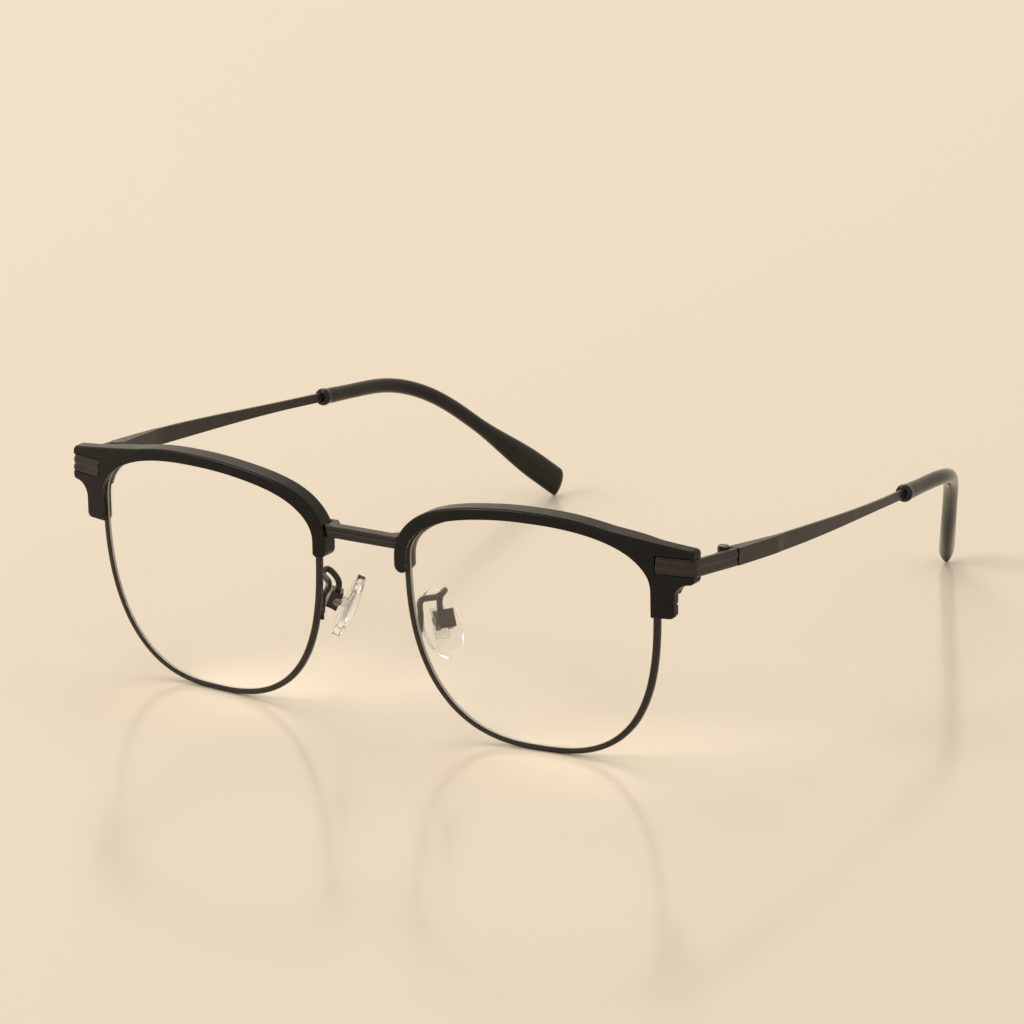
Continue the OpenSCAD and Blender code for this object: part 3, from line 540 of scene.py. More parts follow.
def tint(mat, scale, dark, light):
    """Lets the base colour wander between two close colours."""
    nodes, links, shader = tree(mat)
    ramp = nodes.new("ShaderNodeValToRGB")
    for stop, position, color in zip(ramp.color_ramp.elements, TINT_SPAN, (dark, light)):
        stop.position = position
        stop.color = (*color, 1)
    links.new(noise(mat, scale, detail=3.0), ramp.inputs["Fac"])
    links.new(ramp.outputs["Color"], shader.inputs["Base Color"])


def grain(mat, scale, strength, distance):
    """Fine bump."""
    nodes, links, shader = tree(mat)
    bump = nodes.new("ShaderNodeBump")
    bump.inputs["Strength"].default_value = strength
    bump.inputs["Distance"].default_value = distance
    links.new(noise(mat, scale, detail=5.0), bump.inputs["Height"])
    links.new(bump.outputs["Normal"], shader.inputs["Normal"])


def let_light_through(mat):
    """Clear pieces cast almost no shadow."""
    nodes, links, shader = tree(mat)
    path = nodes.new("ShaderNodeLightPath")
    clear = nodes.new("ShaderNodeBsdfTransparent")
    mix = nodes.new("ShaderNodeMixShader")
    links.new(path.outputs["Is Shadow Ray"], mix.inputs["Fac"])
    links.new(shader.outputs["BSDF"], mix.inputs[1])
    links.new(clear.outputs["BSDF"], mix.inputs[2])
    links.new(mix.outputs["Shader"], nodes["Material Output"].inputs["Surface"])


def coated_metal(name, dark, light, rough, metallic, **sockets):
    """Thin dark coating over metal, with fine grain and slight unevenness."""
    mat = material(name, dark, rough[1], metallic, **sockets)
    tint(mat, 260, dark, light)
    vary(mat, "Roughness", 900, *rough)
    grain(mat, 9000, strength=0.12, distance=0.00002)
    return mat


def gunmetal():
    return coated_metal("gunmetal", dark=(0.021, 0.0175, 0.015), light=(0.031, 0.026, 0.022),
                        rough=(0.26, 0.38), metallic=0.45)


def brow_black():
    return coated_metal("brow_black", dark=(0.0042, 0.0037, 0.0032), light=(0.0068, 0.006, 0.0052),
                        rough=(0.22, 0.30), metallic=0.0, Specular_IOR_Level=0.2)


def screw_steel():
    return coated_metal("screw_steel", dark=(0.16, 0.15, 0.14), light=(0.24, 0.225, 0.21),
                        rough=(0.22, 0.34), metallic=0.9)


def tip_black():
    mat = material("tip_black", (0.006, 0.0055, 0.005), 0.16, Specular_IOR_Level=0.28,
                   Coat_Weight=0.08, Coat_Roughness=0.08)
    tint(mat, 180, dark=(0.005, 0.0045, 0.004), light=(0.009, 0.008, 0.007))
    vary(mat, "Roughness", 500, low=0.13, high=0.22)
    return mat


def lens_clear():
    mat = material("lens_clear", (1, 1, 1), 0.0, Transmission_Weight=1.0, IOR=1.5, Specular_IOR_Level=0.2)
    grain(mat, 40, strength=0.01, distance=0.00001)
    let_light_through(mat)
    return mat


# Pale colour of the lens edge: a painted highlight, standing in for the bright reflected strip along the
# inside of the rim
def painted_edge_highlight():
    mat = material("lens_edge_painted_highlight", (0.62, 0.57, 0.5), 0.4, Transmission_Weight=0.2)
    vary(mat, "Roughness", 400, low=0.38, high=0.52)
    return mat


def silicone():
    mat = material("pad_silicone", (0.98, 0.98, 0.98), 0.08, Transmission_Weight=1.0, IOR=1.41)
    vary(mat, "Roughness", 700, low=0.05, high=0.13)
    let_light_through(mat)
    return mat


def core_plastic():
    mat = material("pad_core", (0.9, 0.91, 0.92), 0.2, Transmission_Weight=0.9, IOR=1.46)
    vary(mat, "Roughness", 800, low=0.2, high=0.34)
    let_light_through(mat)
    return mat


GUNMETAL, BROW, SCREW = gunmetal(), brow_black(), screw_steel()
TIP, LENS, EDGE_HIGHLIGHT = tip_black(), lens_clear(), painted_edge_highlight()
SILICONE, CORE = silicone(), core_plastic()


# Lenses and rims

def lens_line(grow, n, a0=0.0, a1=360.0, ends=False):
    """Flat points of the lens outline, moved outward by grow, a number or a function of the angle."""
    angles = np.linspace(a0, a1, n, endpoint=ends)
    return np.array([lens_point(a, grow(a) if callable(grow) else grow) for a in angles])


def ring_at(grow, depth, n, a0=0.0, a1=360.0, ends=False):
    """Points of the lens outline at a depth behind the face curve."""
    return at_depth(lens_line(grow, n, a0, a1, ends), depth)


LENS_SHARES = (0.02, 0.15, 0.3, 0.45, 0.6, 0.75, 0.88, 0.96, 1.0)


def lens_shape():
    """Lens between the face curve and a flatter back, thin like a weak reading lens."""
    mid = np.array([(LENS_GAP + LENS_W) / 2, 0, RIM_LIP + LENS_H / 2])
    ball = np.array([FACE_X, FRONT_Y + FACE_R, FACE_Z])
    mid[1] = surface(mid[0], mid[2], 0)
    back_ball = ball + unit(mid - ball) * (FACE_R - LENS_SET - LENS_T - LENS_BACK_R)

    def back(x, z):
        return back_ball[1] - np.sqrt(LENS_BACK_R ** 2 - (x - back_ball[0]) ** 2 - (z - back_ball[2]) ** 2)

    centre = mid[[0, 2]]
    spokes = lens_line(0, 240) - centre
    rings = [at_depth(centre + spokes * share, LENS_SET) for share in LENS_SHARES]
    rings += [lifted(centre + spokes * share, back) for share in reversed(LENS_SHARES)]
    return loft(rings)


LOCK_H, SPLIT, LOCK_SCREW_R, LOCK_EDGE = 4.2, 0.2, 0.5, 0.18
LOCK_INSET, LOCK_PROUD, LOCK_RISE = 0.45, 0.6, 0.3
LOCK_X0, LOCK_X1 = LENS_OUTER_X + RIM_LIP / 2, LENS_OUTER_X + LEG_W - LOCK_INSET
LOCK_MID_X = (LOCK_X0 + LOCK_X1) / 2
LOCK_Y0 = surface(LOCK_X0, ARM_Z, 0)
LOCK_Y1 = surface(LOCK_MID_X, ARM_Z, 0) + RIM_DEPTH + LOCK_PROUD
LOCK_Z = LEG_BOTTOM + LOCK_H / 2 + LOCK_RISE
LOCK_HEAD_R, LOCK_HEAD_H = 0.75, 0.5

# Steps inward and along that round the rim's outer corners and its lips
RIM_CORNER = ((0.3, 0.0), (0.12, 0.06), (0.03, 0.2), (0.0, 0.4))
LIP_CORNER = ((0.24, 0.0), (0.1, 0.03))
# Depths of the lips and the groove from the rim's front, and then from its back
LIP_FRONT, LIP_INNER, GROOVE_FRONT = 0.14, 0.18, 0.2
LIP_REAR, LIP_REAR_INNER, GROOVE_REAR = 0.12, 0.24, 0.4
RIM_STEPS = 300


def angle_at(z):
    """Angle of the lens outline on its outer side, at a height below its widest points."""
    return -math.degrees(math.asin(((LENS_Z - z) / LOWER_H) ** (POWERS[3] / 2)))


def rim_shape():
    """Rounded wire with a groove, open at the split, and the two lock blocks."""
    outside = [(RIM_LIP - u, v) for u, v in RIM_CORNER]
    lip = [(u - GROOVE, v) for u, v in LIP_CORNER]
    front = [(-GROOVE, LIP_FRONT), *reversed(lip), *outside]
    rear = [(u, RIM_DEPTH - v) for u, v in (*reversed(outside), *lip, (-GROOVE, LIP_REAR))]
    groove = [(-GROOVE, RIM_DEPTH - LIP_REAR_INNER), (0.0, RIM_DEPTH - GROOVE_REAR), (0.0, GROOVE_FRONT),
              (-GROOVE, LIP_INNER)]
    gap = SPLIT / 2
    a0, a1 = angle_at(LOCK_Z + gap), angle_at(LOCK_Z - gap) + 360
    lines = [ring_at(grow, depth, RIM_STEPS, a0, a1, True) for grow, depth in front + rear + groove]
    blocks = [box((LOCK_X0, LOCK_Y0, z0), (LOCK_X1, LOCK_Y1, z1), LOCK_EDGE)
              for z0, z1 in ((LOCK_Z - LOCK_H / 2, LOCK_Z - gap), (LOCK_Z + gap, LOCK_Z + LOCK_H / 2))]
    return join(loft(np.stack(lines, 1)), *blocks)


# Place of the pale lens edge inside the rim, which carries the painted highlight
HIGHLIGHT_EDGE_OUT, HIGHLIGHT_EDGE_IN, HIGHLIGHT_EDGE_FRONT, HIGHLIGHT_EDGE_BACK = 0.02, 0.1, 0.3, 0.1


def lens_edge_shape():
    """Edge of the lens, seen inside the rim. Its pale colour is a painted highlight, standing in for the
    bright reflected strip along the inside of the rim.
    """
    outer, inner, back = -GROOVE - HIGHLIGHT_EDGE_OUT, -GROOVE - HIGHLIGHT_EDGE_IN, RIM_DEPTH + HIGHLIGHT_EDGE_BACK
    corners = ((outer, HIGHLIGHT_EDGE_FRONT), (outer, back), (inner, back), (inner, HIGHLIGHT_EDGE_FRONT))
    return loft([ring_at(grow, depth, 200) for grow, depth in corners], loop=True)


show_pair("lens", to_mesh(lens_shape()), "front", LENS)
# The pale lens edges paint the highlight along the inside of each rim
for name, side in SIDES:
    show(f"{name}_lens_edge_painted_highlight", to_mesh(lens_edge_shape()), "front", EDGE_HIGHLIGHT, [], side)
show_pair("rim", to_mesh(rim_shape()), "front", GUNMETAL)


HEAD_EDGE_SHARE, SLOT_SHARE, HEAD_GAP, SCREW_CHAMFER = 0.3, 1 / 7, 0.02, 0.1


def screw(radius, length, head_r, head_h):
    """Slotted screw along Z: head below 0 and shank above it."""
    near, far = head_h * HEAD_EDGE_SHARE * 0.4, head_h * HEAD_EDGE_SHARE * 1.4
    shape = lathe([(0, -head_h), (head_r - far, -head_h), (head_r - near, near - head_h),
                   (head_r, far - head_h), (head_r, -HEAD_GAP), (radius, 0),
                   (radius, length - SCREW_CHAMFER), (radius - SCREW_CHAMFER, length), (0, length)])
    half = head_r * SLOT_SHARE
    slot = box((-head_r * 2, -half, -head_h * 2), (head_r * 2, half, -head_h / 2), 0)
    return carve(to_mesh(shape), [slot])


def moved(mesh, matrix):
    """Copy of the mesh, moved by the matrix."""
    mesh = mesh.copy()
    mesh.transform(matrix)
    return mesh


def merged(*meshes):
    """One mesh of all the meshes."""
    bm = bmesh.new()
    for mesh in meshes:
        bm.from_mesh(mesh)
    result = bpy.data.meshes.new("merged")
    bm.to_mesh(result)
    bm.free()
    return result


lock_screw = screw(LOCK_SCREW_R, LOCK_H - LOCK_HEAD_H - BORE_GAP, LOCK_HEAD_R, LOCK_HEAD_H)
LOCK_SCREW_AT = (LOCK_MID_X, LOCK_Y1 - (RIM_DEPTH + LOCK_PROUD) / 2, LOCK_Z - LOCK_H / 2 + LOCK_HEAD_H)
show_pair("lock_screw", moved(lock_screw, shift(*LOCK_SCREW_AT)), "front", SCREW)


# Brows

def brow_width(a):
    """Width of the brow outside the lens edge at an angle."""
    return (BROW_TOP_W + (BROW_NOSE_W - BROW_TOP_W) * smooth(a, *NOSE_WIDENS)
            + (BROW_TEMPLE_W - BROW_TOP_W) * (1 - smooth(a, *TEMPLE_WIDENS)))


def lip_at(a):
    """Lip of the front wall over the lens edge, wider along the upper arch."""
    return BROW_LIP + LIP_EXTRA * float(smooth(a, *LIP_WIDENS) - smooth(a, *LIP_NARROWS))


def arc(cx, cz, r, a0, a1, n):
    """Points of an arc between two angles in degrees, in n steps."""
    a = np.radians(np.linspace(a0, a1, n + 1))
    return np.stack([cx + r * np.cos(a), cz + r * np.sin(a)], 1)


def brow_outline():
    """Front view of the brow, anticlockwise, with the flange's lip inside the lens edge."""
    leg_x, leg_in = LENS_OUTER_X + LEG_W, LENS_OUTER_X - FLANGE_LIP
    lobe_x, lobe_z = BROW_END_X - LOBE_R, ARM_Z - ARM_H / 2 - LOBE_H
    top_angle = 90 - math.degrees(math.atan(TOP_SLOPE))
    parts = [
        arc(leg_in + LEG_R / 2, LEG_BOTTOM + LEG_R / 2, LEG_R / 2, 180, 270, 6),
        arc(leg_x - LEG_R, LEG_BOTTOM + LEG_R, LEG_R, 270, 360, 8),
        arc(leg_x + LEG_FILLET, lobe_z - LEG_FILLET, LEG_FILLET, 180, 90, 14),
        arc(lobe_x, lobe_z + LOBE_R, LOBE_R, 270, 360, 8),
        arc(lobe_x, END_TOP - LOBE_R, LOBE_R, 0, top_angle, 8),
        lens_line(brow_width, 90, ARCH_START, ARCH_END, True),
        arc(*NOSE_LOBE_AT, NOSE_LOBE_R, 180, NOSE_LOBE_END, 14),
        lens_line(-FLANGE_LIP, 140, FLANGE_START, angle_at(LEG_BOTTOM + LEG_R), True),
    ]
    return resample(np.concatenate(parts), OUTLINE_STEP)


LENS_EDGE = lens_line(0, 360, ends=True)
CUT_OVER, CUT_ROOM, CUT_PAST, CUT_DEEP = 1.0, 3.0, 5.0, 30.0


def brow_front(x, z):
    return surface(x, z, -BROW_WALL)


def brow_back(x, z):
    """Back of the brow, deep behind the rim and shallower away from it."""
    away = gap_to(np.stack([x, z], 1), LENS_EDGE)
    deep = RIM_DEPTH + FIT + BROW_FLANGE
    near_share = 1 - smooth(away, BAND_W - SLACK, BAND_W + BAND_EASE)
    return surface(x, z, END_DEPTH + (deep - END_DEPTH) * near_share)


def surface_block(x0, x1, z0, z1, depth):
    """Cutter whose front follows the face curve at a depth."""
    heights = np.linspace(z0, z1, 8)
    rings = []
    for x in np.linspace(x0, x1, 12):
        ring = [(x, float(surface(x, z, depth)), z) for z in heights]
        ring += [(x, FRONT_Y + CUT_DEEP, z) for z in reversed(heights)]
        rings.append(ring)
    return loft(rings)


def brow_mesh():
    """Brow with its lens window, rim channel and rooms for the lock, back plate, strip and arm."""
    outline = brow_outline()
    upward = np.clip(-directions(outline)[:, 0], 0, 1)
    body = plate(outline, brow_front, brow_back, FRONT_EDGE + TOP_BEVEL * upward, BACK_EDGE)
    lip = lens_line(lambda a: -lip_at(a), 240)
    window = loft([at_depth(lip, depth) for depth in (-BROW_WALL - CUT_OVER, RIM_DEPTH / 2)])
    outer, rear = RIM_LIP + FIT, RIM_DEPTH + FIT
    channel = loft([ring_at(grow, depth, RIM_STEPS) for grow, depth in
                    ((-CUT_ROOM, -FIT), (outer, -FIT), (outer, rear), (-CUT_ROOM, rear))], loop=True)
    past_x, low_z = BROW_END_X + CUT_PAST, LEG_BOTTOM - CUT_OVER
    lock_room = surface_block(LENS_OUTER_X + RIM_LIP / 2, past_x, low_z, LOCK_Z + LOCK_H / 2 + SLACK, -FIT)
    plate_room = surface_block(BEND_X - FORK_LEN - 4 * SLACK, past_x, low_z, ARM_Z + ARM_H / 2 + SLACK,
                               END_DEPTH)
    half, floor, past = ARM_H / 2 + SLACK / 2, BEND_R - FIT, BEND_OUT_R + CUT_ROOM
    strip_floor = place(PLATE, box((floor, -PLATE_LEN - 2 * SLACK, -half), (past, SLACK, half + SLACK), 0))
    strip_end = place(PLATE, box((floor, -SLACK, -half), (past, CUT_ROOM, half), 0))
    arm_room = place(BEND, box((-BEND_R, -BEND_R, -half), (past, ARM_LEN, half), 0))
    return carve(to_mesh(body), [window, channel, lock_room, plate_room, strip_floor, strip_end, arm_room])


show_pair("brow", brow_mesh(), "front", BROW, sharp=32)


# Endpieces: ribbed strip, back plate and drop leg

RIB_RISE, BEAD_H, SPLIT_SHARE, RIB_POWER = 0.28, 0.45, 0.58, 0.7
STRIP_EDGE, RIB_EDGE, STRIP_NEAR, ARM_NEAR, ARM_LAST = 0.05, 0.08, 0.2, 0.3, 0.06
PLATE_SQUEEZE, ARM_SQUEEZE, HEIGHT_SQUEEZE = 0.12, 0.1, 0.12
PLATE_EDGE, WRAP_EDGE, DROP_EDGE = 0.12, 0.1, 0.15
WRAP_SHARE, DROP_W = 0.8, 2.4


def rib_profile():
    """Section x, z of the strip: two rounded bands, a groove between them and a bead on top."""
    top, thick = ARM_H / 2, ARM_T - RIB_RISE
    split = top - ARM_H * SPLIT_SHARE
    bands = ((-top, split, RIB_RISE), (split, top - BEAD_H, RIB_RISE), (top - BEAD_H, top, RIB_RISE / 2))
    points = [(STRIP_EDGE, -top), (thick - RIB_EDGE, -top)]
    for low, high, height in bands:
        for k in np.linspace(0.02, 0.98, 10):
            points.append((thick + height * math.sin(math.pi * k) ** RIB_POWER, low + (high - low) * k))
    points += [(thick - RIB_EDGE, top), (STRIP_EDGE, top), (0, top - STRIP_EDGE), (0, -top + STRIP_EDGE)]
    return np.array(points)


def endpiece_shape():
    """Ribbed strip round the corner, the plate behind the brow, its wrap and the drop leg."""
    profile = rib_profile()

    def ring(bend_share, y, squeeze=0.0):
        r = BEND_R + profile[:, 0] * (1 - squeeze) + squeeze * ARM_T / 2
        z = profile[:, 1] * (1 - squeeze * HEIGHT_SQUEEZE)
        local = np.stack([r, np.full(len(r), y), z], 1)
        return place(BEND @ turn(-BEND_ANGLE * bend_share, "Z"), (local, []))[0]

    rings = [ring(1, -PLATE_LEN, PLATE_SQUEEZE), ring(1, -PLATE_LEN + STRIP_EDGE)]
    rings += [ring(1, y) for y in np.linspace(-PLATE_LEN + 2 * STRIP_NEAR, -STRIP_NEAR, 8)]
    rings += [ring(1 - k, 0) for k in np.linspace(0, 1, 14)]
    rings += [ring(0, y) for y in np.linspace(STRIP_NEAR, ARM_LEN - ARM_NEAR, 12)]
    rings += [ring(0, ARM_LEN - ARM_LAST), ring(0, ARM_LEN, ARM_SQUEEZE)]
    half, wrap_x, plate_x = FORK_H / 2, BEND_R + ARM_T / 2, BEND_OUT_R - FORK_GAP
    back = box((plate_x - FORK_T, -FORK_LEN, -half), (plate_x, wrap_x * WRAP_SHARE, half), PLATE_EDGE)
    wrap = box((wrap_x - FORK_T, 0, -half), (wrap_x, FORK_T - plate_x, half), WRAP_EDGE)
    leg_x, leg_y = LENS_OUTER_X + RIM_LIP, LOCK_Y1 + SLACK / 2
    leg = box((leg_x, leg_y, LOCK_Z + SPLIT), (leg_x + DROP_W, leg_y + FORK_T, ARM_Z + SPLIT), DROP_EDGE)
    return join(loft(rings), place(PLATE, back), place(BEND, wrap), leg)


show_pair("endpiece", to_mesh(endpiece_shape()), "front", GUNMETAL)


# Hinges

LEAF_T, LEAF_LEN, LEAF_EDGE = 0.58, 5.0, 0.05
WEB_GAP, WEB_EDGE, TONGUE_T, TONGUE_START = 0.02, 0.03, 0.45, 0.2
HINGE_HEAD_R, HINGE_HEAD_H = 1.0, 0.3


def hinge_front_shape():
    """Outer knuckles, the leaf inside the arm and the webs between them."""
    bore = HINGE_SCREW_R + BORE_GAP
    low, high = EYE_BOTTOM - KNUCKLE_GAP, EYE_BOTTOM + EYE_H + KNUCKLE_GAP
    top, leaf_x, leaf_y = BARREL_BOTTOM + ARM_H, ARM_INNER - FIT, SEAM_Y - SLACK
    leaf = box((leaf_x - LEAF_T, leaf_y - LEAF_LEN, BARREL_BOTTOM + SLACK),
               (leaf_x, leaf_y - SLACK, top - SLACK), LEAF_EDGE)
    parts = [knuckle(BARREL_R, bore, BARREL_BOTTOM, low), knuckle(BARREL_R, bore, high, BARREL_TOP), leaf]
    for z0, z1 in ((BARREL_BOTTOM, low), (high, top)):
        parts.append(box((bore + WEB_GAP, -BARREL_R, z0), (leaf_x, 0, z1), WEB_EDGE))
    return place(ARM, join(*parts))


def hinge_eye_shape():
    """Middle knuckle with its tongue in the temple."""
    top = EYE_BOTTOM + EYE_H
    ring = knuckle(BARREL_R, HINGE_SCREW_R + BORE_GAP, EYE_BOTTOM, top)
    tongue = box((BARREL_R - TONGUE_T, TONGUE_START, EYE_BOTTOM),
                 (BARREL_R, SEAM_Y + LEAF_LEN, top), WEB_EDGE)
    return place(TEMPLE, join(ring, tongue))


show_pair("hinge_front", to_mesh(hinge_front_shape()), "front", GUNMETAL)
show_pair("hinge_eye", to_mesh(hinge_eye_shape()), "{}_temple", GUNMETAL)
hinge_screw = screw(HINGE_SCREW_R, BARREL_TOP - BARREL_BOTTOM, HINGE_HEAD_R, HINGE_HEAD_H)
show_pair("hinge_screw", moved(hinge_screw, ARM @ shift(0, 0, BARREL_TOP) @ turn(math.pi, "X")),
          "front", SCREW)


# Temples and tips

BEND_END = STRAIGHT_LEN + BEND_LEN


def tip_dir(s):
    """Direction of the tip at a distance along it, in the temple's own frame."""
    tuck = BOW_END + EAR_TUCK * float(smooth(s, TUCK_START, TUCK_END))
    drop = EAR_DROP * float(smooth(s, STRAIGHT_LEN, BEND_END))
    return np.array([-math.sin(tuck), math.cos(tuck) * math.cos(drop), -math.cos(tuck) * math.sin(drop)])


BEND_STEPS = math.ceil(BEND_END / 2)
BEND_STEP = BEND_END / BEND_STEPS
BEND_PATH = [np.array([TEMPLE_MID_X, TEMPLE_END, 0.0])]
for i in range(BEND_STEPS):
    BEND_PATH.append(BEND_PATH[-1] + BEND_STEP * tip_dir((i + 0.5) * BEND_STEP))

# From the bend the tip runs straight on down to the table
UP_DIR = np.array([-math.sin(TOE_IN) * math.sin(PANTO), -math.cos(TOE_IN) * math.sin(PANTO),
                   math.cos(PANTO)])
END_DIR = tip_dir(BEND_END)
END_FALL = float(-END_DIR @ UP_DIR)
END_LEVEL = math.sqrt(1 - END_FALL ** 2)
END_REACH = TIP_END_R * (CAP_KEEL * END_LEVEL
                         + math.hypot((1 - CAP_KEEL) * END_LEVEL, CAP_LONG * END_FALL))
END_LEN = (HINGE_AT[2] + float(BEND_PATH[-1] @ UP_DIR) - END_REACH) / END_FALL
KEEL_DIR = unit(-UP_DIR - END_DIR * END_FALL)
TIP_CLUB = np.array([TIP_SIDE_R, TIP_END_R])

# Shares of the collar's length and radius at its rings, and angles of the rings round the end
COLLAR_LEN, COLLAR_RISE = 1.8, 0.12
COLLAR_SHARES = ((0, 0.5), (0, 0.72), (0.06, 0.84), (0.14, 0.92), (0.35, 1), (0.6, 1), (0.8, 0.95),
                 (0.92, 0.9), (1, 0.89))
CAP_ANGLES = np.radians(np.linspace(7, 88, 12))
TIP_SIDES, CORE_SIDES, WIRE_SIDES = 40, 12, 20


def tip_at(s):
    """Point on the tip's centre line."""
    if s > BEND_END:
        return BEND_PATH[-1] + END_DIR * (s - BEND_END)
    i = min(int(s / BEND_STEP), BEND_STEPS - 1)
    k = s / BEND_STEP - i
    return BEND_PATH[i] * (1 - k) + BEND_PATH[i + 1] * k


def tip_radii(s, length):
    """Half thickness and half height of the tip."""
    neck = TIP_NECK_R + (TIP_MOUTH_R - TIP_NECK_R) * (1 - smooth(s, 0, NECK_LEN))
    return neck + (TIP_CLUB - TIP_NECK_R) * smooth(s, length - CLUB_START, length - CLUB_END)


def temple_tip_shape(length):
    """Collar, bent neck, flattened club and rounded end."""
    collar = TIP_MOUTH_R + COLLAR_RISE
    stations = [(tip_at(COLLAR_LEN * along), tip_dir(0), collar * size) for along, size in COLLAR_SHARES]
    for s in (*np.arange(3, BEND_END, 1.0), *np.linspace(BEND_END, length, 24)):
        stations.append((tip_at(s), tip_dir(s), tip_radii(s, length)))
    for b in CAP_ANGLES:
        onward = CAP_LONG * math.sin(b) * END_DIR + CAP_KEEL * (1 - math.cos(b)) * KEEL_DIR
        stations.append((tip_at(length) + TIP_END_R * onward, END_DIR, TIP_CLUB * math.cos(b)))
    path, headings, radii = zip(*stations)
    return place(TEMPLE, tube(path, radii, TIP_SIDES, headings))


# A first tip shows how far it still is from the table
FIRST_LEN = BEND_END + END_LEN
TIP_LEN = FIRST_LEN + float(temple_tip_shape(FIRST_LEN)[0][:, 2].min()) / END_FALL

# Sections of the temple lie here over its wedge, and evenly along its blade
WEDGE_AT, BLADE_FROM, BLADE_RINGS = (0, 0.06, 3, 7, 11), 20, 26
TAPER_SHARES = (0.18, 0.9)
WEDGE_EXTRA, BLADE_EDGE, BLADE_CHAMFER, FOLD = 0.35, 0.14, 0.05, 0.08
TEMPLE_CORE_R, TEMPLE_CORE_SHORT = 0.6, 14.0


def temple_half(k):
    """Half height of the temple at a share of its length."""
    return float(TEMPLE_REAR_H + (ARM_H - TEMPLE_REAR_H) * (1 - smooth(k, *TAPER_SHARES))) / 2


def temple_shape():
    """Wedge behind the seam, flat blade and the core wire that runs on inside the tip."""
    step_end = WEDGE_LEN + WEDGE_STEP
    knots = (0.0, WEDGE_LEN, step_end, TEMPLE_LEN)
    thicks = (SEAM_T, BLADE_T + WEDGE_EXTRA, BLADE_T, BLADE_T)
    outs = (TEMPLE_OUT, TEMPLE_OUT, BLADE_OUT, BLADE_OUT)
    stations = [*WEDGE_AT, WEDGE_LEN - FOLD, WEDGE_LEN + FOLD, step_end - FOLD, step_end + FOLD,
                *np.linspace(BLADE_FROM, TEMPLE_LEN, BLADE_RINGS)]
    rings = []
    for s in stations:
        k = s / TEMPLE_LEN
        thick, half = np.interp(s, knots, thicks), temple_half(k)
        out = np.interp(s, knots, outs) + 4 * BOW * k * (1 - k)
        if s == 0:
            out, thick, half = out - BLADE_CHAMFER, thick - 2 * BLADE_CHAMFER, half - BLADE_CHAMFER
        x0, x1, z = out - thick + BLADE_EDGE, out - BLADE_EDGE, half - BLADE_EDGE
        corners = ((x1, z, 0), (x0, z, 90), (x0, -z, 180), (x1, -z, 270))
        flat = np.concatenate([arc(cx, cz, BLADE_EDGE, a, a + 90, 3) for cx, cz, a in corners])
        rings.append([(x, TEMPLE_START + s, z) for x, z in flat])
    core_path = [tip_at(s) for s in np.linspace(0, TIP_LEN - TEMPLE_CORE_SHORT, 40)]
    core_path[0] = core_path[0] - tip_dir(0)
    core = tube(core_path, [TEMPLE_CORE_R] * len(core_path), CORE_SIDES)
    return place(TEMPLE, join(loft(rings), core))


show_pair("temple", to_mesh(temple_shape()), "{}_temple", GUNMETAL, sharp=30)
show_pair("temple_tip", to_mesh(temple_tip_shape(TIP_LEN)), "{}_temple", TIP)


# Bridge

BAR_H, BAR_T, BAR_RISE, BAR_EDGE, BAR_GROOVE = 2.4, 2.1, 2.3, 0.22, 0.12
FOOT_T, FOOT_INSET, FOOT_STEP, FOOT_SHORT = 0.9, 0.3, 0.02, 0.05
BAR_Z = LENS_Z + BAR_RISE
BAR_FRONT = FRONT_Y + SLACK
BAR_END_X = LENS_GAP / 2 - BROW_NOSE_W + 2 * SLACK
FOOT_FRONT = float(surface(BAR_END_X, BAR_Z, RIM_DEPTH + FIT + BROW_FLANGE)) + SLACK
FOOT_X = LENS_GAP / 2 + 3 * SLACK
# Depth and height of the points down the bar's front
BAR_LINE = ((0, 0.5), (0, 0.34), (BAR_GROOVE, 0.2), (BAR_GROOVE, 0.1), (0, -0.04), (0, -0.2))


def bridge_shape():
    """Bar with a shallow groove along its front, and a foot behind each brow."""
    half = BAR_H / 2
    near, far, high = BAR_FRONT + BAR_EDGE, BAR_FRONT + BAR_T - BAR_EDGE, half - BAR_EDGE
    above = [arc(y, BAR_Z + high, BAR_EDGE, a, a + 90, 4) for y, a in ((far, 0), (near, 90))]
    front = [(BAR_FRONT + dy, BAR_Z + dz) for dy, dz in BAR_LINE]
    below = [arc(y, BAR_Z - high, BAR_EDGE, a, a + 90, 4) for y, a in ((near, 180), (far, 270))]
    section = np.concatenate([*above, front, *below])
    shapes = [loft([[(x, y, z) for y, z in section] for x in np.linspace(-BAR_END_X, BAR_END_X, 33)])]
    inner, rear = BAR_FRONT + FOOT_INSET, FOOT_FRONT + FOOT_T
    steps = ((BAR_END_X - BAR_T, inner, BAR_FRONT + BAR_T), (BAR_END_X - FOOT_T / 2, inner, rear),
             (BAR_END_X, inner, rear), (BAR_END_X + FOOT_STEP, FOOT_FRONT, rear),
             (FOOT_X, FOOT_FRONT, rear))
    z0, z1 = BAR_Z - half + FOOT_SHORT, BAR_Z + half - FOOT_SHORT
    for side in (1, -1):
        shapes.append(loft([[(side * x, y0, z0), (side * x, y1, z0), (side * x, y1, z1), (side * x, y0, z1)]
                            for x, y0, y1 in steps]))
    return join(*shapes)


show("bridge_form", to_mesh(bridge_shape()), "front", GUNMETAL, ["bridge"])

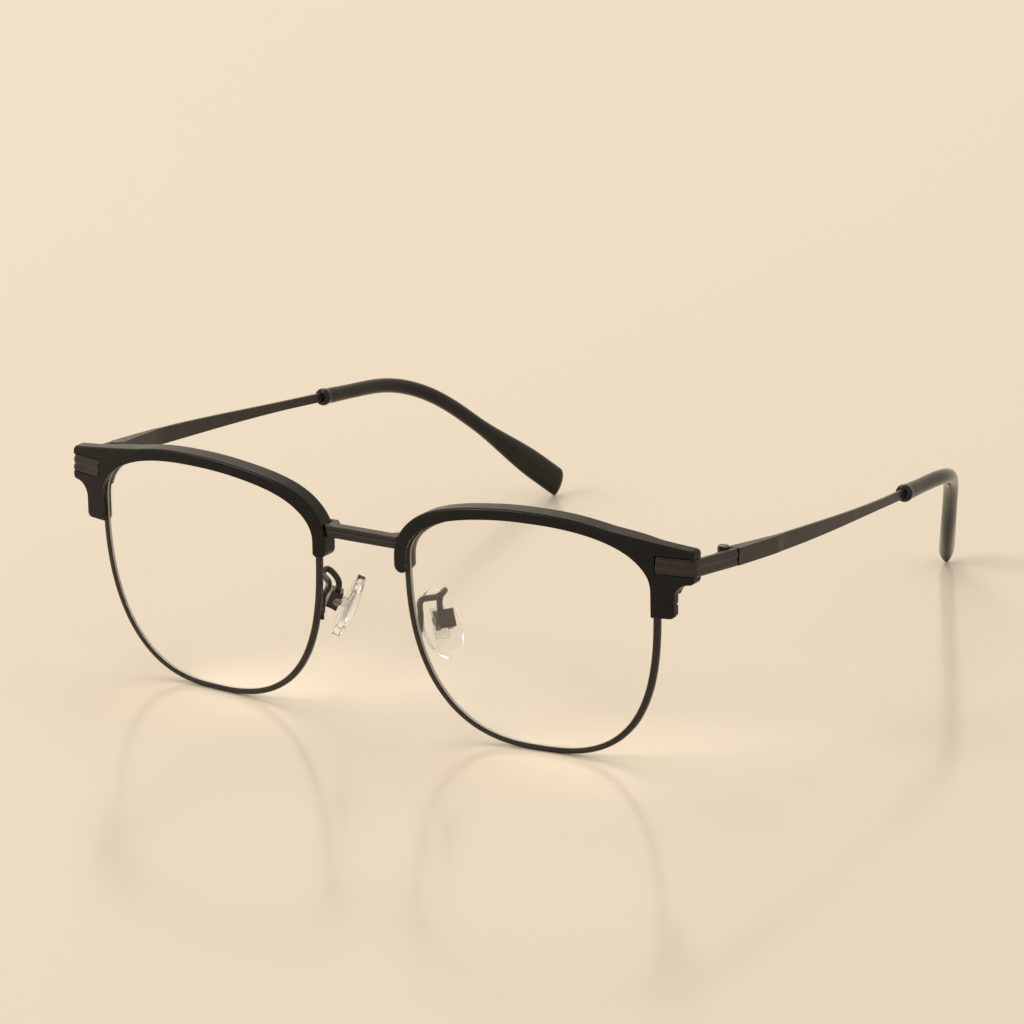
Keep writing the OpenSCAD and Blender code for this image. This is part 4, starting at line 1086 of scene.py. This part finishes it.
BROW_SCREW_R, BROW_SCREW_LEN, BROW_HEAD_R, BROW_HEAD_H = 0.45, 2.4, 0.85, 0.45
NOSE_SCREW_X = LENS_GAP / 2 - (RIM_LIP + BROW_NOSE_W) / 2 + BROW_SCREW_R
brow_screw = screw(BROW_SCREW_R, BROW_SCREW_LEN, BROW_HEAD_R, BROW_HEAD_H)
nose_screw = moved(brow_screw, shift(NOSE_SCREW_X, FOOT_FRONT + FOOT_T, BAR_Z) @ turn(math.pi / 2, "X"))
end_screw = moved(brow_screw, PLATE @ shift(BEND_OUT_R - FORK_GAP - FORK_T, -PLATE_LEN / 2, 0)
                  @ turn(math.pi / 2, "Y"))
show_pair("brow_screws", merged(nose_screw, end_screw), "front", SCREW)


# Nose pads

FOOT_ANGLE, WIRE_PROUD, WIRE_FOOT_H = 200, 0.2, 2.2
# Points of the wire from its start, as shares of how far it goes sideways, back and up
WIRE_GOES = np.array([3.0, 7.3, 7.0])
WIRE_SHARES = ((0, 0, 0), (-0.01, 0.075, 0.42), (-0.23, 0.19, 0.69), (-0.12, 0.275, 0.81),
               (0.25, 0.4, 0.84), (0.6, 0.5, 0.86), (0.84, 0.58, 0.93), (0.78, 0.8, 0.96), (0.4, 0.88, 0.8))
TAB_T, TAB_R, TAB_GAP, CHEEK_T = 1.5, 1.05, 0.06, 0.9
TAB_ROOM = TAB_T / 2 + TAB_GAP
BOX_HALF = TAB_ROOM + CHEEK_T
BOX_WALL, BOX_SIDE, BOX_TOP_SHARE, BOX_EDGE = 0.5, 0.5, 0.7, 0.28
BOX_FRONT, BOX_BACK, BOX_BACK_SHARE, BOX_ARC = 0.6, 0.2, 0.9, (18, 12)
PAD_TURN, PAD_TAPER, PAD_RIM_T = math.radians(8), 0.18, 0.22
# Rings of the pad: share of its outline, and height over its back or its crowned face
BACK_RINGS = ((0.02, 0.0), (0.5, 0.0), (0.8, 0.0), (0.93, 0.02), (0.97, 0.1), (0.985, 0.2))
FACE_RINGS = ((0.985, -0.1), (0.95, 0.0), (0.88, 0.0), (0.8, -0.02), (0.6, -0.02), (0.4, 0.0),
              (0.2, 0.0), (0.02, 0.0))
CORE_T, CORE_W, CORE_H, CORE_EDGE = 0.6, 3.2, 6.0, 0.25
STEM_GAP, STEM_SHARE, STEM_EDGE = 0.2, 0.8, 0.1


def pad_arm_shape():
    """Bent wire from its foot behind the rim to the pad's box."""
    foot_x, foot_z = lens_point(FOOT_ANGLE, 0)
    mid_x = foot_x - SLACK
    start = np.array([mid_x, float(surface(foot_x, foot_z, 0)) + RIM_DEPTH + WIRE_R + WIRE_PROUD, foot_z])
    box_top = np.array([-BOX_WALL, BOX_SIDE, BOX_R * BOX_TOP_SHARE])
    neck = box_top + (-BOX_WALL, 0, BOX_R)
    points = [start + WIRE_GOES * shares for shares in WIRE_SHARES]
    path = spline([*points, *place(PAD, ([neck, box_top], []))[0]], 10)
    wire = tube(path, [WIRE_R] * len(path), WIRE_SIDES)
    x0, x1 = mid_x - WIRE_R, mid_x + WIRE_R
    foot = []
    for z in np.linspace(foot_z - WIRE_FOOT_H / 2, foot_z + WIRE_FOOT_H / 2, 7):
        foot.append([(x, float(surface(x, z, RIM_DEPTH + depth)), z)
                     for x, depth in ((x0, FIT), (x1, FIT), (x1, WIRE_R), (x0, WIRE_R))])
    return join(wire, loft(foot))


def clevis_mesh():
    """Rounded box that the pad's tab turns in."""
    room, high = TAB_R + TAB_GAP * 2, BOX_R * BOX_BACK_SHARE
    upper = [(BOX_FRONT, math.sqrt(BOX_R ** 2 - BOX_FRONT ** 2))]
    upper += [(BOX_R * math.sin(t), BOX_R * math.cos(t)) for t in np.radians(BOX_ARC)]
    upper += [(-BOX_BACK, high), (-room - BOX_WALL, high)]
    outline = [(x, -z) for x, z in reversed(upper)] + upper
    body = to_mesh(loft([[(x, y, z) for x, z in outline] for y in (-BOX_HALF, BOX_HALF)]))
    slot = box((-room, -TAB_ROOM, -BOX_R - CUT_OVER), (CUT_ROOM, TAB_ROOM, room), 0)
    return moved(carve(soften(body, BOX_EDGE), [slot]), PAD)


def pad_shape():
    """Crowned pad with a raised rim line round its face, narrower at the top."""
    a = np.linspace(0, 2 * np.pi, 96, endpoint=False)
    k = (1 + np.sin(a)) / 2
    y, z = PAD_W / 2 * np.cos(a) * (1 - PAD_TAPER * k), PAD_H / 2 * np.sin(a)
    edge_y = y * math.cos(PAD_TURN) + z * math.sin(PAD_TURN)
    edge_z = z * math.cos(PAD_TURN) - y * math.sin(PAD_TURN)

    def ring(share, x):
        return np.stack([PAD_BACK + x + 0 * edge_y, edge_y * share, edge_z * share], 1)

    rings = [ring(share, x) for share, x in BACK_RINGS]
    for share, lift in FACE_RINGS:
        crown = PAD_CROWN_R - np.sqrt(PAD_CROWN_R ** 2 - (edge_y * share) ** 2 - (edge_z * share) ** 2)
        rings.append(ring(share, np.maximum(PAD_T - crown + lift, PAD_RIM_T)))
    return place(shift(0, PAD_OFF_Y, PAD_OFF_Z), loft(rings))


def pad_core_shape():
    """Plate in the silicone with an eye in the clevis."""
    half, rise = TAB_T / 2, TAB_R * STEM_SHARE
    x0 = PAD_BACK + (PAD_T - CORE_T) / 3
    eye = place(turn(math.pi / 2, "X"), knuckle(TAB_R, PAD_SCREW_R + BORE_GAP, -half, half))
    stem = box((PAD_SCREW_R + STEM_GAP, -half, -rise), (x0 + CORE_T / 2, half, rise), STEM_EDGE)
    disc = box((0, -CORE_W / 2, -CORE_H / 2), (CORE_T, CORE_W / 2, CORE_H / 2), CORE_EDGE)
    return place(PAD, join(eye, stem, place(shift(x0, PAD_OFF_Y / 2, PAD_OFF_Z), disc)))


def pad_screw_mesh():
    """Screw through both cheeks of the box and the eye of the core."""
    shape = screw(PAD_SCREW_R, 2 * BOX_HALF, 2 * PAD_SCREW_R, PAD_SCREW_R)
    return moved(shape, PAD @ shift(0, BOX_HALF, 0) @ turn(math.pi / 2, "X"))


show_pair("pad_arm", merged(to_mesh(pad_arm_shape()), clevis_mesh()), "front", GUNMETAL)
show_pair("nose_pad", to_mesh(place(PAD, pad_shape())), "{}_pad", SILICONE)
show_pair("pad_core", to_mesh(pad_core_shape()), "{}_pad", CORE)
show_pair("pad_screw", pad_screw_mesh(), "front", SCREW)


# Table, lights and camera

TABLE_COLOR = (0.88, 0.745, 0.575)
SKY_LIGHT, SKY_STRENGTH = (1.0, 0.985, 0.96, 1), 0.62
SKY_SEEN, SEEN_STRENGTH = (0.90, 0.775, 0.61, 1), 1.0
LAMP_COLOR = (1, 0.98, 0.95)


def table():
    """Glossy plane under the glasses."""
    bpy.ops.mesh.primitive_plane_add(size=12, location=(0, 0, 0))
    floor = bpy.context.object
    floor.name = "table"
    mat = material("table_top", TABLE_COLOR, 0.16, IOR=1.35, Specular_IOR_Level=0.5)
    floor.data.materials.append(mat)


def sky():
    """World light, and the colour that camera, glossy and transmitted rays see."""
    world = bpy.data.worlds.new("studio")
    bpy.context.scene.world = world
    world.use_nodes = True
    nodes, links = world.node_tree.nodes, world.node_tree.links
    lit = nodes["Background"]
    shown = nodes.new("ShaderNodeBackground")
    for node, color, strength in ((lit, SKY_LIGHT, SKY_STRENGTH), (shown, SKY_SEEN, SEEN_STRENGTH)):
        node.inputs["Color"].default_value = color
        node.inputs["Strength"].default_value = strength
    path = nodes.new("ShaderNodeLightPath")
    seen = path.outputs["Is Camera Ray"]
    for ray in ("Is Glossy Ray", "Is Transmission Ray"):
        either = nodes.new("ShaderNodeMath")
        either.operation = "MAXIMUM"
        links.new(seen, either.inputs[0])
        links.new(path.outputs[ray], either.inputs[1])
        seen = either.outputs["Value"]
    mix = nodes.new("ShaderNodeMixShader")
    links.new(seen, mix.inputs["Fac"])
    links.new(lit.outputs["Background"], mix.inputs[1])
    links.new(shown.outputs["Background"], mix.inputs[2])
    links.new(mix.outputs["Shader"], nodes["World Output"].inputs["Surface"])


def soft_light(name, at, aim, size, power):
    """Rectangular lamp that points at aim."""
    data = bpy.data.lights.new(name, "AREA")
    data.shape = "RECTANGLE"
    data.size, data.size_y = size
    data.energy = power
    data.color = LAMP_COLOR
    lamp = added(name, data)
    lamp.location = at
    lamp.rotation_euler = (Vector(aim) - Vector(at)).to_track_quat("-Z", "Y").to_euler()


# Camera solved from the photograph, with the focal length in its pixels
CAMERA_AZ, CAMERA_EL, CAMERA_ROLL = math.radians(32.912), math.radians(17.536), math.radians(-1.291)
CAMERA_TARGET = np.array([6.947, FRONT_Y + 41.749, 31.905])
CAMERA_DISTANCE, FOCAL_PX, IMAGE_PX, SENSOR = 1597.07, 8358.0, 1024, 36.0


def camera():
    """Camera at its distance from the target."""
    back = np.array([math.sin(CAMERA_AZ) * math.cos(CAMERA_EL), -math.cos(CAMERA_AZ) * math.cos(CAMERA_EL),
                     math.sin(CAMERA_EL)])
    right = np.array([math.cos(CAMERA_AZ), math.sin(CAMERA_AZ), 0])
    up = np.cross(back, right)
    c, s = math.cos(CAMERA_ROLL), math.sin(CAMERA_ROLL)
    right, up = c * right + s * up, c * up - s * right
    at = (CAMERA_TARGET + back * CAMERA_DISTANCE) * MM
    data = bpy.data.cameras.new("camera")
    data.sensor_width = SENSOR
    data.lens = FOCAL_PX / IMAGE_PX * SENSOR
    data.clip_start, data.clip_end = 0.1, 20
    obj = added("camera", data)
    obj.matrix_world = Matrix([[right[i], up[i], back[i], at[i]] for i in range(3)] + [[0, 0, 0, 1]])
    bpy.context.scene.camera = obj


table()
sky()
soft_light("key", (-0.7, 0.6, 1.3), (0, 0, 0.02), (0.9, 0.9), 7.0)
soft_light("front_box", (-0.75, -0.95, 0.85), (0, 0, 0.03), (0.6, 0.2), 5.0)
camera()
bpy.context.scene.view_settings.view_transform = "Standard"
